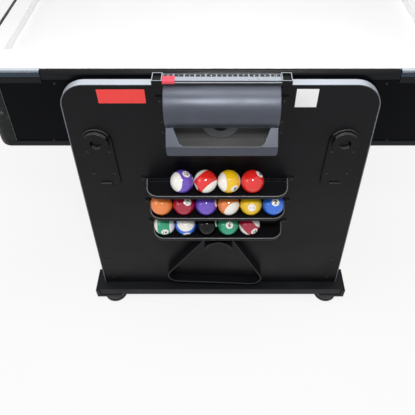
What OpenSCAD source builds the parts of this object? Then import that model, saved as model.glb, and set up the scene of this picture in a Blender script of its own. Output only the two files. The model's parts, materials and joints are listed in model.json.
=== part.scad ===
// Multi-game table: a playing body with a hockey rink on one face and a pool table on the other
// turns on two pivots between end pedestals. The front pedestal stores the balls and the triangle.
// Millimetres, Z up, origin on the floor under the middle. The front pedestal is at negative Y.

/* [Playing body] */
// Width over the aprons
body_w = 1076; // [1040:2:1120]
// Length over the aprons
body_l = 2010; // [1800:10:2300]
// Height from the pool rail top to the hockey rail top
body_h = 210; // [204:1:230]
// Height of the turning axis above the floor
axis_z = 745; // [740:1:790]
// Thickness of the apron boards
apron_t = 18; // [16:0.5:20]
// Radius of the body's upright corners
corner_r = 28; // [22:1:34]
// Width of the edge moulding on top of the apron
moulding_w = 12; // [11:0.5:14]
// Height of the edge moulding
moulding_h = 20; // [18:0.5:22]
// How far the moulding stands out of the apron
moulding_out = 2; // [1:0.5:3]
// Rounding of the moulding's outer edge
moulding_r = 9; // [4:0.5:10]
// Length of a corner cap's arm, from the corner
cap_l = 154; // [100:1:200]
// Height of the silver part of a corner cap
cap_h = 14; // [8:0.5:16]
// How far a corner cap stands out of the moulding and above it
cap_out = 1; // [0.5:0.5:2]
// Rounding of a corner cap's outer upper edge
cap_r = 3; // [1:0.5:4]
// Height of the dark skirt under a corner cap
skirt_h = 15; // [10:0.5:20]
// Width of a corner plate on the end apron, at its lower edge
plate_w = 46; // [40:1:80]
// How much wider a corner plate is at its upper edge
plate_rake = 12; // [0:1:24]
// Thickness of the corner plates
plate_t = 1.5; // [1:0.1:2]

/* [Hockey side] */
// Thickness of the hockey field board
field_t = 12; // [9:0.5:16]
// Width of the end rails, which cover the goals
goal_rail_w = 82; // [70:1:110]
// Width of the side rails
side_rail_w = 42; // [30:1:70]
// Width of a goal mouth
goal_w = 280; // [200:5:340]
// Height of a goal mouth
goal_h = 12; // [9:0.5:13]
// Depth of the drop hole under the goal rail
drop_d = 68; // [60:1:68]

/* [Pool side] */
// Width of a pool rail, from the moulding to the cushion
pool_rail_w = 45; // [40:1:55]
// Height of the pool rail above the cloth
pool_rail_h = 40; // [38:0.5:44]
// Width of a cushion
cushion_w = 30; // [24:1:36]
// Height of the cushion's nose above the cloth
nose_h = 36; // [34:0.5:37]
// Thickness of the pool bed
bed_t = 16; // [12:0.5:20]
// Thickness of the cloth
cloth_t = 1.5; // [1:0.1:2]
// Radius of a pocket
pocket_r = 55; // [52:1:56]
// Depth of a pocket cup behind the bed
cup_d = 84; // [70:1:88]
// Wall of a pocket cup
cup_t = 3; // [2:0.5:3.5]
// Width of a corner pocket's mouth between the cushion noses
corner_mouth = 118; // [112:1:130]
// Width of a side pocket's mouth between the cushion noses
side_mouth = 124; // [118:1:140]
// Thickness of the joists between the two playing boards
joist_t = 18; // [12:1:25]
// Distance of the inner joists from the middle
joist_inner_y = 250; // [150:10:300]
// Distance of the outer joists from the middle
joist_outer_y = 610; // [450:10:650]
// Width of a pocket cup's flange
cup_flange_w = 6; // [4:0.5:8]
// Angle at which a cushion ends at a corner pocket
corner_cut = 52; // [46:1:60]
// Angle at which a cushion ends at a side pocket
side_cut = 70; // [64:1:80]

/* [Pedestals] */
// Gap between a pedestal panel and the body's apron
run_gap = 15; // [12:0.5:20]
// Thickness of a pedestal panel
panel_t = 20; // [18:0.5:22]
// How far the panel's top lies below the hockey rail top
panel_drop = 10; // [8:1:20]
// Half width of the panel where its sides would meet its top edge
panel_top_x = 343.5; // [335:0.5:380]
// Half width of the panel at its foot
panel_foot_x = 380; // [370:0.5:385]
// Radius of the panel's top corners
panel_r = 60; // [40:1:80]
// Thickness of the silver edge band
band_t = 2; // [1:0.5:3]
// How far the edge band stands out of the panel's faces
band_out = 0.6; // [0.2:0.2:1]
// Half length of a base beam
base_x = 396; // [390:1:420]
// Height of the base beam's top above the floor
base_top = 85; // [82:1:100]
// Height of the base beam
base_h = 32; // [30:1:40]
// How far the base stands out in front of the panel
base_out = 29; // [16:1:40]
// How far the base reaches behind the panel's outer face
base_in = 52; // [45:1:80]
// Thickness of the end cap over the beam's end
end_cap_t = 12; // [8:1:16]
// How far the end cap stands out of the beam's faces
end_cap_out = 2; // [1:0.5:4]
// How far the end cap's top lies below the beam's top
end_cap_drop = 6; // [2:1:10]
// Length of the end cap's foot block under the beam
foot_block_l = 70; // [64:1:90]
// Height of the end cap's foot block under the beam
foot_block_h = 11; // [8:1:14]
// Radius of a levelling foot
foot_r = 37; // [30:1:37]
// Height of a levelling foot's upright rim
foot_rim_h = 9; // [6:1:12]
// Height of a levelling foot's dome
foot_dome_h = 24; // [20:1:28]
// Radius of a levelling foot's neck
foot_neck_r = 16; // [12:1:20]
// Distance of a levelling foot from the middle plane
foot_x = 358; // [350:1:362]
// Radius of a levelling foot's stud
stud_r = 5; // [4:0.5:7]

/* [Under-frame] */
// Distance of the stretchers from the middle plane
stretcher_x = 346; // [320:1:355]
// Thickness of the stretchers and cross rails
stretcher_t = 24; // [18:1:30]
// Height of the stretchers
stretcher_h = 120; // [110:1:130]
// Height of the stretchers' lower edge above the floor
stretcher_z = 104; // [101:1:112]
// Height of the cross rails
cross_h = 60; // [40:1:70]
// Distance of the cross rails from the middle
cross_y = 480; // [200:5:600]
// Rise of a gusset above the stretcher
gusset_h = 52; // [30:1:56]
// Length of a gusset along the stretcher
gusset_l = 80; // [50:1:120]
// Length of a gusset's upper edge
gusset_tip = 16; // [10:1:24]
// Thickness of a gusset
gusset_t = 18; // [12:1:20]
// Radius of a stretcher bolt's head
bolt_r = 7; // [5:0.5:9]
// Height of a stretcher bolt's head
bolt_h = 4; // [3:0.5:5]
// Distance of a stretcher bolt from the cross rail's edge
bolt_edge = 18; // [14:1:19]

/* [Pivots] */
// Radius of a pivot axle
axle_r = 15; // [12:0.5:18]
// Radius of the bearing flange on the panel
flange_r = 43; // [36:1:44]
// Thickness of the bearing flange
flange_t = 5; // [4:0.5:7]
// Outer radius of the bearing tube
bearing_r = 22; // [20:0.5:26]
// Radius of the axle's mounting plate inside the apron
axle_plate_r = 36; // [30:1:37]
// Thickness of the axle's mounting plate
axle_plate_t = 8; // [5:0.5:12]
// Radius of the axle's retaining cap
axle_cap_r = 20; // [19:0.5:24]
// Thickness of the axle's retaining cap
axle_cap_t = 4; // [3:0.5:6]

/* [Puck catcher] */
// Half width of the hood
hood_x = 122; // [112:1:125]
// Sideways offset of the hood and the score keeper from the middle
hood_dx = 3; // [-6:1:6]
// Radius of the hood's round bulge
hood_r = 50; // [49:0.5:53]
// Wall of the hood
hood_t = 3.5; // [2.5:0.5:4.5]
// Wall of the hood's lip
lip_t = 4.5; // [3.5:0.5:6]
// Reach of the hood's lip in front of the panel
lip_y = 65; // [60:0.5:70]
// Height of the lip's top edge below the panel's top
lip_drop = 115.5; // [112:0.5:120]
// Height of the hood's underside below the panel's top
hood_drop = 147.5; // [144:0.5:156]
// Height of the window's top edge below the panel's top
window_drop = 83; // [81:1:86]
// Half width of the window at its top
window_top_x = 105; // [96:1:105]
// Half width of the window where its sides would meet the lip
window_foot_x = 89; // [80:1:95]
// Rounding of the window's and the hood's lower corners
window_r = 16; // [10:1:20]
// Wall of the hood's back, behind the catcher
hood_back_t = 2; // [1.5:0.5:3]
// Width of a hood ear beside the hood
ear_w = 20; // [16:1:26]
// Height of a hood ear's top above the middle of the bulge
ear_rise = 22; // [18:1:28]
// Half width of the puck slots in panel and apron
slot_x = 105; // [95:1:108]
// Height of the puck slots
slot_h = 24; // [20:1:26]
// Fall of the puck chute from the goal to the apron
chute_fall = 8; // [4:1:9]
// Wall of the puck chute
chute_t = 2; // [1:0.5:2.5]

/* [Score keeper] */
// Half length of the score keeper
score_x = 146; // [135:1:160]
// Depth of the score keeper across the panel's edge
score_d = 30; // [26:1:30]
// How far the score keeper stands out in front of the panel
score_out = 4; // [3:0.5:8]
// Height of the score keeper's base strip
score_h = 6; // [4:0.5:7]
// Height of the bar that the slider runs on, above the base strip
bar_h = 3; // [2:0.5:4]
// Width of the bar
bar_w = 15; // [12:0.5:16]
// Length of an end block
block_l = 22; // [20:1:30]
// Height of an end block
block_h = 12; // [11:0.5:14]
// Width of the slider
slider_w = 26; // [20:1:30]
// Height of the slider above the bar
slider_h = 2; // [1.5:0.5:4]
// Wall of the slider's lip in front of the base strip
slider_lip = 1.2; // [1:0.1:2]
// How far the slider's lip hangs below the base strip's top
slider_drop = 1.5; // [1:0.5:3]
// Pitch of the number windows
window_pitch = 22.5; // [18:0.5:24]
// Number of number windows
window_count = 11; // [6:1:11]
// Depth of the number windows
window_deep = 0.8; // [0.5:0.1:2]

/* [Locks] */
// Distance of the locks from the middle plane
lock_x = 288; // [280:1:294]
// Distance of the locks below the turning axis
lock_drop = 58; // [56:1:70]
// Radius of the lock's plate at its round top
lock_plate_r = 36; // [33:1:38]
// Length of the lock's plate below the hole
lock_plate_l = 139; // [120:1:150]
// Thickness of the lock's plate
lock_plate_t = 5; // [4:0.5:8]
// Radius of the raised ring round the hole
lock_ring_r = 30; // [26:1:31]
// How far the ring stands out of the panel
lock_ring_out = 13; // [12:0.5:18]
// Radius of the finger hole
lock_hole_r = 13.5; // [12:0.5:15]
// Radius of the locking pin
lock_pin_r = 7; // [6:0.5:9]
// Clearance on each side of a pin in its square socket in the apron
lock_room = 2; // [1:0.5:3]
// Floor of the cup that the knob slides in
lock_floor = 2.5; // [2:0.5:4]
// Wall of the cup
lock_cup_t = 3; // [2:0.5:4]
// Rounding of the lock plate's lower corners
lock_plate_round = 8; // [4:1:12]
// Height of the pin's knob
knob_h = 6; // [5:0.5:8]
// How far the drawn-back knob lies below the ring's face
knob_sunk = 8; // [2:0.5:9]

/* [Balls and trays] */
// Diameter of a ball
ball_d = 57.15; // [56:0.05:58]
// Sideways offset of the trays from the middle
tray_dx = -8; // [-12:1:0]
// Depth of a tray in front of the panel
tray_d = 64; // [63:0.5:65]
// Height of the tray's rim above its floor
tray_rim = 9; // [7:0.5:12]
// Wall of a tray
tray_t = 2.5; // [2:0.5:3]
// Free space between the end balls and a tray's sides
tray_room = 3; // [1:0.5:5]
// Radius of a tray's front corners
tray_r = 32; // [18:1:34]
// How far each side of a tray draws in towards its front
tray_draw = 6; // [0:0.5:8]
// Height of the top tray's rim below the panel's top
tray_drop = 273; // [268:1:276]
// Distance between two trays
tray_pitch = 83; // [82:1:85]
// Distance between a tray's back and its balls
ball_back = 1; // [0.5:0.1:1.5]
// Free space between two balls
ball_gap = 0.3; // [0.2:0.1:0.6]

/* [Triangle] */
// Wall of the triangle
rack_wall = 4; // [3:0.5:5]
// Depth of the triangle
rack_d = 28; // [24:1:40]
// Distance between the lowest tray and the triangle's top
rack_below = 3; // [2:0.5:20]
// Tilt of the hanging triangle
rack_tilt = 4; // [0:0.5:6]
// Outer radius of the arched hanger
hanger_r = 41; // [34:1:42]
// Wall of the hanger
hanger_t = 6; // [4:0.5:8]
// Height of the hanger's ends above its middle
hanger_ends = 10; // [0:1:20]
// Depth of the hanger
hanger_d = 55; // [40:1:60]
// Sideways place of the hanger
hanger_dx = -6; // [-12:1:6]

/* [Hidden] */
$fn = 64;

// Cuts run this far past a face
past = 1;
// Radial clearance of a shaft in its bearing
running = 0.05;
// End clearance between a pivot's bearing and the apron, and between its flange and the axle's cap
axle_play = 0.5;
// Clearance between pieces of one body that plug together
plug = 0.1;
// Clearance between moving pieces and what they rest on
rest_gap = 0.3;
// Points along each rounded corner of the triangle, and round the hood's bulge
rack_steps = 16;
hood_steps = 24;
// Clearance of a levelling foot's neck under its end cap
foot_gap = 1;

// Places of the body's faces
apron_x = body_w / 2;
apron_y = body_l / 2;
top_z = axis_z + body_h / 2;
inner_x = apron_x - apron_t;
inner_y = apron_y - apron_t;
// Distance from the apron's outer face to where the rails start
rail_start = moulding_w - moulding_out;
field_z = top_z - moulding_h;
field_under = field_z - field_t;
// Lower edge of the dark skirt under a corner cap
skirt_z = top_z + cap_out - cap_h - skirt_h;

// Pool side, measured up from its rail top
pool_top = axis_z - body_h / 2;
cloth_z = pool_top + pool_rail_h;
bed_z = cloth_z + cloth_t;
bed_back = bed_z + bed_t;
cushion_x = apron_x - rail_start - pool_rail_w;
cushion_y = apron_y - rail_start - pool_rail_w;
nose_x = cushion_x - cushion_w;
nose_y = cushion_y - cushion_w;
cup_gap = 1;
pocket_edge = pocket_r + cup_t + cup_gap;
corner_pocket = [inner_x - pocket_edge, inner_y - pocket_edge];
side_pocket = [inner_x - pocket_edge, 0];
mouth_leg = corner_mouth / sqrt(2);
nose_t = 3.5;
cushion_step = 1;
cushion_foot = 14;

// Places along the ends: panel faces and the apron as seen from the panel's outer face
panel_y = apron_y + run_gap + panel_t;
apron_at = panel_t + run_gap;
panel_top = top_z - panel_drop;
base_under = base_top - base_h;
foot_top = base_under - foot_block_h;
foot_y = (base_in - base_out) / 2;

// Slope of the panel's sides
side_run = panel_foot_x - panel_top_x;
side_rise = panel_top - base_top;
side_len = sqrt(side_run * side_run + side_rise * side_rise);
side_nx = side_rise / side_len;
side_nz = side_run / side_len;
panel_cx = panel_top_x - panel_r * (1 - side_nz) / side_nx;
panel_cz = panel_top - panel_r;

// Puck way: the slots lie just under the field, and the hood's bulge covers them
slot_top = field_under - chute_fall;
slot_z = slot_top - slot_h;
hood_cz = panel_top - plug - hood_r;
lip_z = panel_top - lip_drop;
hood_z = panel_top - hood_drop;
window_z = panel_top - window_drop;

// Locks
lock_z = axis_z - lock_drop;
lock_cup_r = lock_hole_r + lock_cup_t;
knob_y = knob_sunk - lock_ring_out;
knob_play = 1;
// The drawn-back pin ends short of the corner caps' path
pin_clear = 2;
pin_tip = apron_at - moulding_out - cap_out - plate_t - pin_clear;
// Foot of a lock plate: a tab in front of its lower edge
tab_x = 14;
tab_h = 6;
tab_edge = 2;

// Balls and trays
tray_places = 6;
ball_r = ball_d / 2;
ball_step = ball_d + ball_gap;
tray_x = tray_places * ball_step / 2 + tray_room + tray_t;
tray_rim_z = panel_top - tray_drop;
ball_y = -(tray_t + ball_back + ball_r);
ear_l = 14;
ear_h = 14;
ear_above = 6;
TRAY_BALLS = [["", "12", "11", "09", "03", ""], ["05", "07", "04", "13", "01", "02"],
              ["14", "10", "08", "06", "15", ""]];

// Triangle: it takes five rows of balls, and its sides hang on the arched hanger
rack_in_r = ball_r + rest_gap;
rack_out_r = rack_in_r + rack_wall;
rack_span = 4 * ball_d;
rack_drop = rack_span * sqrt(3) / 2;
rack_top = tray_rim_z - 2 * tray_pitch - tray_rim - tray_t - rack_below;
// The hanger's middle lies this far below the middle of the triangle's upper corner
hanger_below = 2 * (hanger_r + rest_gap - rack_in_r);
hanger_z = rack_top - rack_out_r - hanger_below;

// Screws
screw_r = 4;
screw_h = 2;
screw_edge = 11;
panel_screw_z = [stretcher_z + screw_edge, stretcher_z + stretcher_h - screw_edge];
lock_screw_x = 25;
lock_screw_z = [-27, -98];
hood_screw_z = [0, -55, -84];

// Places: a child drawn from the front panel's outer face, with Y into the table
module at_front() translate([0, -panel_y, 0]) children();
module at_rear() rotate([0, 0, 180]) at_front() children();
module at_both_ends() {
  at_front() children();
  at_rear() children();
}
module mirrored_x() {
  children();
  mirror([1, 0, 0]) children();
}
module in_four_corners() mirrored_x() {
  children();
  mirror([0, 1, 0]) children();
}
// A shape of the hockey side, mirrored to the pool side
module to_pool_side() translate([0, 0, 2 * axis_z]) mirror([0, 0, 1]) children();
// A flat outline in X and Z, drawn from its front face at y towards the table
module upright(y, t) translate([0, y + t, 0]) rotate([90, 0, 0]) linear_extrude(t) children();
// A cylinder along Y from y, t long
module peg(r, y, t) translate([0, y + t, 0]) rotate([90, 0, 0]) cylinder(r = r, h = t);
// A block from its lowest to its highest corner
module block(low, high) translate(low) cube(high - low);

// A section in Y and Z, carried along X from -x to x
module along_x(x) translate([-x, 0, 0]) rotate([90, 0, 90]) linear_extrude(2 * x) children();

module rounded_rect(x, y, r) {
  square([2 * (x - r), 2 * y], center = true);
  square([2 * x, 2 * (y - r)], center = true);
  for (sx = [-1, 1], sy = [-1, 1]) translate([sx * (x - r), sy * (y - r)]) circle(r);
}
// The body's outline in plan, grown outwards by out
module body_outline(out) rounded_rect(apron_x + out, apron_y + out, corner_r + out);
// The same outline as a solid between two heights
module body_block(out, low, high) translate([0, 0, low]) linear_extrude(high - low) body_outline(out);

// Panel outline in X and Z, drawn in by inset at its sides and top
module panel_outline(inset) {
  r = panel_r - inset;
  tx = panel_cx + r * side_nx;
  tz = panel_cz + r * side_nz;
  foot = panel_foot_x - inset / side_nx;
  polygon([[-foot, base_top], [foot, base_top], [tx, tz], [panel_cx, panel_cz + r],
           [-panel_cx, panel_cz + r], [-tx, tz]]);
  for (s = [-1, 1]) translate([s * panel_cx, panel_cz]) circle(r);
}

module panel() color([0.09, 0.09, 0.1]) difference() {
  upright(0, panel_t) panel_outline(band_t);
  translate([0, 0, axis_z]) peg(bearing_r + plug, -past, panel_t + 2 * past);
  block([hood_dx - slot_x, -past, slot_z], [hood_dx + slot_x, panel_t + past, slot_top]);
  mirrored_x() translate([lock_x, 0, lock_z])
    peg(lock_cup_r + plug, -past, panel_t + 2 * past);
}
module front_panel() at_front() panel();
module rear_panel() at_rear() panel();

module panel_edge_bands() color([0.85, 0.87, 0.9]) at_both_ends() difference() {
  upright(-band_out, panel_t + band_out) panel_outline(0);
  upright(-past, panel_t + 2 * past) panel_outline(band_t);
}

module base_beams() color([0.12, 0.12, 0.13]) at_both_ends() difference() {
  block([-base_x, -base_out, base_under], [base_x, base_in, base_top]);
  mirrored_x() translate([foot_x, foot_y, base_under - past])
    cylinder(r = stud_r + running, h = base_h / 2 + past);
}

module base_end_caps() color([0.1, 0.1, 0.11]) at_both_ends() mirrored_x() {
  difference() {
    union() {
      block([base_x - foot_block_l, -base_out - end_cap_out, foot_top],
            [base_x + end_cap_t, base_in + end_cap_out, base_under]);
      block([base_x, -base_out - end_cap_out, foot_top],
            [base_x + end_cap_t, base_in + end_cap_out, base_top - end_cap_drop]);
    }
    translate([foot_x, foot_y, foot_top - past])
      cylinder(r = stud_r + running, h = foot_block_h + 2 * past);
  }
}

// Levelling foot: a domed pad on a stud that screws up into the base
module foot() color([0.16, 0.16, 0.17]) {
  bevel = foot_rim_h / 3;
  neck_z = foot_top - foot_gap;
  rotate_extrude() polygon(concat(
    [[0, 0], [foot_r - bevel, 0], [foot_r, bevel]],
    [for (a = [0:22.5:90]) [foot_neck_r + (foot_r - foot_neck_r) * cos(a),
                            foot_rim_h + (foot_dome_h - foot_rim_h) * sin(a)]],
    [[foot_neck_r, neck_z], [0, neck_z]]));
  translate([0, 0, neck_z - past]) cylinder(r = stud_r, h = foot_block_h + base_h / 2 - past);
}
module foot_front_left() at_front() translate([-foot_x, foot_y, 0]) foot();
module foot_front_right() at_front() translate([foot_x, foot_y, 0]) foot();
module foot_rear_left() at_rear() translate([foot_x, foot_y, 0]) foot();
module foot_rear_right() at_rear() translate([-foot_x, foot_y, 0]) foot();

// Two long boards from panel to panel, and two rails across
module stretchers() color([0.1, 0.1, 0.1]) {
  reach = panel_y - panel_t;
  mirrored_x() block([stretcher_x - stretcher_t / 2, -reach, stretcher_z],
                     [stretcher_x + stretcher_t / 2, reach, stretcher_z + stretcher_h]);
  cross_x = stretcher_x - stretcher_t / 2 - plug;
  for (y = [-cross_y, cross_y])
    block([-cross_x, y - stretcher_t / 2, stretcher_z],
          [cross_x, y + stretcher_t / 2, stretcher_z + cross_h]);
}

module side_gussets() color([0.12, 0.12, 0.12]) at_both_ends() mirrored_x()
  translate([stretcher_x - gusset_t / 2, 0, 0]) rotate([90, 0, 90]) linear_extrude(gusset_t)
    polygon([[panel_t, stretcher_z + stretcher_h],
             [panel_t + gusset_l, stretcher_z + stretcher_h],
             [panel_t + gusset_tip, stretcher_z + stretcher_h + gusset_h],
             [panel_t, stretcher_z + stretcher_h + gusset_h]]);

// Bolts through the stretchers into the ends of the cross rails
module stretcher_bolts() color([0.7, 0.7, 0.72]) mirrored_x()
  for (y = [-cross_y, cross_y], z = [bolt_edge, cross_h - bolt_edge])
    translate([stretcher_x + stretcher_t / 2, y, stretcher_z + z])
      rotate([0, 90, 0]) cylinder(r = bolt_r, h = bolt_h);

// Hood profile in Y and Z: a half round above, a sloping front and a lip below
module hood_profile(r, front, floor_z, back) {
  low = -asin((hood_cz - window_z) / r);
  round_front = [for (i = [0:hood_steps]) let (t = 90 + (low - 90) * i / hood_steps)
    [-r * cos(t), hood_cz + r * sin(t)]];
  polygon(concat([[back, floor_z]], back > 0 ? [[back, hood_cz + r]] : [], round_front,
                 [[-front, lip_z], [-front, floor_z + window_r / 2],
                  [window_r / 2 - front, floor_z]]));
}

// Window in X and Z: its sides draw in downwards and run into round corners at the lip
module hood_window() {
  top = window_z - past;
  slant = atan2(window_top_x - window_foot_x, top - lip_z);
  reach = window_r * tan(45 - slant / 2);
  foot = window_foot_x - reach;
  side_x = window_foot_x + reach * sin(slant);
  side_z = lip_z + reach * cos(slant);
  polygon([[-foot, lip_z], [foot, lip_z], [side_x, side_z], [window_top_x, top],
           [-window_top_x, top], [-side_x, side_z]]);
  for (s = [-1, 1]) translate([s * foot, lip_z + window_r]) circle(window_r);
}

module hood_shell() difference() {
  union() {
    intersection() {
      along_x(hood_x) hood_profile(hood_r, lip_y, hood_z, 0);
      upright(-lip_y - past, lip_y + past) union() {
        translate([-hood_x, hood_z + window_r]) square([2 * hood_x, hood_drop]);
        translate([window_r - hood_x, hood_z]) square([2 * (hood_x - window_r), hood_drop]);
        for (s = [-1, 1]) translate([s * (hood_x - window_r), hood_z + window_r])
          circle(window_r);
      }
    }
    mirrored_x() block([hood_x - hood_t, -hood_t, hood_z + window_r],
                       [hood_x + ear_w, 0, hood_cz + ear_rise]);
  }
  along_x(hood_x - hood_t)
    hood_profile(hood_r - hood_t, lip_y - lip_t, hood_z + hood_t, past);
  upright(-lip_y - past, lip_y - hood_t) hood_window();
  // Room for the panel's edge band under the hood's top
  block([-hood_x - past, -band_out - plug, panel_top - band_t - plug],
        [hood_x + past, past, panel_top + past]);
}

// Back of the catcher, open round the bearing's flange and above it at the puck slot
module hood_back() difference() {
  block([hood_t - hood_x - past, -hood_back_t, hood_z + hood_t - past],
        [hood_x - hood_t + past, 0, slot_z - past]);
  translate([-hood_dx, 0, axis_z]) peg(flange_r + plug, -hood_back_t - past, hood_back_t + 2 * past);
}
module hood() color([0.3, 0.31, 0.34]) translate([hood_dx, 0, 0]) union() {
  hood_shell();
  hood_back();
}
module front_hood() at_front() hood();
module rear_hood() at_rear() hood();

// Base strip and, a step higher, the slider's bar with a row of number windows behind it
module scorer_rails() color([0.78, 0.8, 0.84]) at_both_ends() translate([hood_dx, 0, 0])
  difference() {
    x = score_x - block_l;
    back = score_d - score_out;
    top = panel_top + score_h + bar_h;
    rim = 1.5;
    union() {
      block([-x, -score_out, panel_top], [x, back, panel_top + score_h]);
      block([-x, 0, panel_top + score_h - past], [x, back, top]);
    }
    for (i = [0:window_count - 1])
      translate([(i - (window_count - 1) / 2) * window_pitch, 0, top - window_deep])
        block([rim - window_pitch / 2, bar_w, 0], [window_pitch / 2 - rim, back - rim, window_deep + past]);
  }

// End blocks of the score keeper, hollow from above
module scorer_end_blocks() color([0.12, 0.12, 0.13]) at_both_ends() translate([hood_dx, 0, 0])
  mirrored_x() difference() {
    wall = 2;
    hollow = 4;
    block([score_x - block_l, -score_out - 1, panel_top],
          [score_x, score_d - score_out, panel_top + block_h]);
    block([score_x - block_l + wall, wall - score_out - 1, panel_top + block_h - hollow],
          [score_x - wall, score_d - score_out - wall, panel_top + block_h + past]);
  }

// Slider: a plate on the bar with a lip over the base strip's front, drawn at its left stop
module score_slider() color([0.85, 0.15, 0.18])
  translate([hood_dx - score_x + block_l + rest_gap, 0, panel_top + score_h]) difference() {
    block([0, -score_out - rest_gap - slider_lip, -slider_drop], [slider_w, bar_w, bar_h + slider_h]);
    block([-past, -rest_gap, -slider_drop - past], [slider_w + past, bar_w + past, bar_h + rest_gap]);
    block([-past, -score_out - rest_gap, -slider_drop - past], [slider_w + past, 0, rest_gap]);
  }
module front_score_slider() at_front() score_slider();
module rear_score_slider() at_rear() score_slider();

// Lock plate with a raised ring and a cup that takes the pin's knob
module lock_plate() color([0.08, 0.08, 0.09]) difference() {
  r = lock_plate_round;
  union() {
    upright(-lock_plate_t, lock_plate_t) union() {
      circle(lock_plate_r);
      translate([-lock_plate_r, r - lock_plate_l]) square([2 * lock_plate_r, lock_plate_l - r]);
      translate([r - lock_plate_r, -lock_plate_l]) square([2 * (lock_plate_r - r), r]);
      for (s = [-1, 1]) translate([s * (lock_plate_r - r), r - lock_plate_l]) circle(r);
    }
    peg(lock_ring_r, -lock_ring_out, lock_ring_out);
    peg(lock_cup_r, -past, panel_t + past);
    block([-tab_x, -2 * lock_plate_t, tab_edge - lock_plate_l],
          [tab_x, 0, tab_edge + tab_h - lock_plate_l]);
  }
  peg(lock_hole_r, -lock_ring_out - past, lock_ring_out + past + panel_t - lock_floor);
  peg(lock_pin_r + running, 0, panel_t + past);
}
module lock_plates() at_both_ends()
  for (s = [-1, 1]) translate([s * lock_x, 0, lock_z]) lock_plate();

// Locking pin with a round knob, drawn back; it slides in to hold the body
module lock_pin() color([0.55, 0.56, 0.58]) {
  peg(lock_hole_r - knob_play, knob_y, knob_h);
  peg(lock_pin_r, knob_y + knob_h - past, pin_tip - knob_y - knob_h + past);
}
module lock_pin_front_left() at_front() translate([-lock_x, 0, lock_z]) lock_pin();
module lock_pin_front_right() at_front() translate([lock_x, 0, lock_z]) lock_pin();
module lock_pin_rear_left() at_rear() translate([lock_x, 0, lock_z]) lock_pin();
module lock_pin_rear_right() at_rear() translate([-lock_x, 0, lock_z]) lock_pin();

// Bearing: a flange in front of the panel and a tube through it towards the apron
module pivot_bearings() color([0.55, 0.56, 0.58]) at_both_ends() translate([0, 0, axis_z])
  difference() {
    union() {
      peg(flange_r, -flange_t, flange_t);
      peg(bearing_r, -past, apron_at - axle_play + past);
    }
    peg(axle_r + running, -flange_t - past, apron_at + flange_t + 2 * past);
  }

// Axle: a plate inside the apron, a shaft through the bearing and a cap in front of its flange
module pivot_axles() color([0.7, 0.71, 0.73]) at_both_ends() translate([0, 0, axis_z]) {
  peg(axle_plate_r, apron_at + apron_t, axle_plate_t);
  cap_y = -flange_t - axle_play - axle_cap_t;
  peg(axle_r, cap_y + past, apron_at + apron_t - cap_y);
  peg(axle_cap_r, cap_y, axle_cap_t);
}

module screw_head() peg(screw_r, -screw_h, screw_h);
module panel_screws() color([0.2, 0.2, 0.21]) {
  at_both_ends() {
    mirrored_x() for (z = panel_screw_z) translate([stretcher_x, 0, z]) screw_head();
    mirrored_x() for (x = [-lock_screw_x, lock_screw_x], z = lock_screw_z)
      translate([lock_x + x, -lock_plate_t, lock_z + z]) screw_head();
    translate([hood_dx, 0, 0]) mirrored_x() for (z = hood_screw_z)
      translate([hood_x + ear_w / 2, -hood_t, hood_cz + ear_rise - screw_edge + z]) screw_head();
  }
  at_front() for (k = [0:2], s = [-1, 1])
    translate([tray_dx + s * (tray_x + ear_l / 2), -tray_t,
               tray_rim_z - k * tray_pitch + ear_above - ear_h / 2]) screw_head();
}

// Ball tray: a shallow moulded pan with round front corners, and an ear at each side.
// Its plan: the sides draw in towards the front and run into round corners
module tray_plan(x, d, r) {
  side_l = sqrt(d * d + tray_draw * tray_draw);
  nx = d / side_l;
  ny = tray_draw / side_l;
  cx = x - tray_draw * (d - r) / d - r / nx;
  polygon([[-x, 0], [x, 0], [cx + r * nx, r - d - r * ny], [cx, -d],
           [-cx, -d], [-cx - r * nx, r - d - r * ny]]);
  for (s = [-1, 1]) translate([s * cx, r - d]) circle(r);
}
module tray(k) color([0.07, 0.07, 0.08])
  at_front() translate([tray_dx, 0, tray_rim_z - k * tray_pitch]) {
    difference() {
      translate([0, 0, -tray_rim - tray_t]) linear_extrude(tray_rim + tray_t)
        tray_plan(tray_x, tray_d, tray_r);
      translate([0, -tray_t, -tray_rim]) linear_extrude(tray_rim + past)
        tray_plan(tray_x - tray_t, tray_d - 2 * tray_t, tray_r - tray_t);
    }
    mirrored_x() block([tray_x - past, -tray_t, ear_above - ear_h], [tray_x + ear_l, 0, ear_above]);
  }
module upper_ball_tray() tray(0);
module middle_ball_tray() tray(1);
module lower_ball_tray() tray(2);

// A ball lies on its tray's floor, in the place that the list of trays gives it
module ball(name) color([0.9, 0.85, 0.7]) at_front()
  for (k = [0:2], i = [0:tray_places - 1]) if (TRAY_BALLS[k][i] == name)
    translate([tray_dx + (i - (tray_places - 1) / 2) * ball_step, ball_y,
               tray_rim_z - k * tray_pitch - tray_rim + ball_r + rest_gap]) sphere(ball_r);

// Triangle outline: three round corners joined by straight sides, drawn from its upper corner
function arc_points(c, r, a) = [for (i = [0:rack_steps])
  c + r * [cos(a - 120 * i / rack_steps), sin(a - 120 * i / rack_steps)]];
module rack_outline(r) polygon(concat(arc_points([0, 0], r, 150),
                                      arc_points([rack_span / 2, -rack_drop], r, 30),
                                      arc_points([-rack_span / 2, -rack_drop], r, -90)));
module triangle_rack() color([0.07, 0.07, 0.07])
  at_front() translate([hanger_dx, 0, hanger_z]) rotate([0, rack_tilt, 0])
    translate([0, 0, hanger_below]) upright(-rack_d - rest_gap, rack_d) difference() {
      rack_outline(rack_out_r);
      rack_outline(rack_in_r);
    }
module rack_hanger() color([0.1, 0.1, 0.1]) at_front() translate([hanger_dx, 0, hanger_z])
  upright(-hanger_d, hanger_d) difference() {
    circle(hanger_r);
    circle(hanger_r - hanger_t);
    translate([-hanger_r - past, -hanger_r - past])
      square([2 * (hanger_r + past), hanger_r + hanger_ends + past]);
  }

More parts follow.
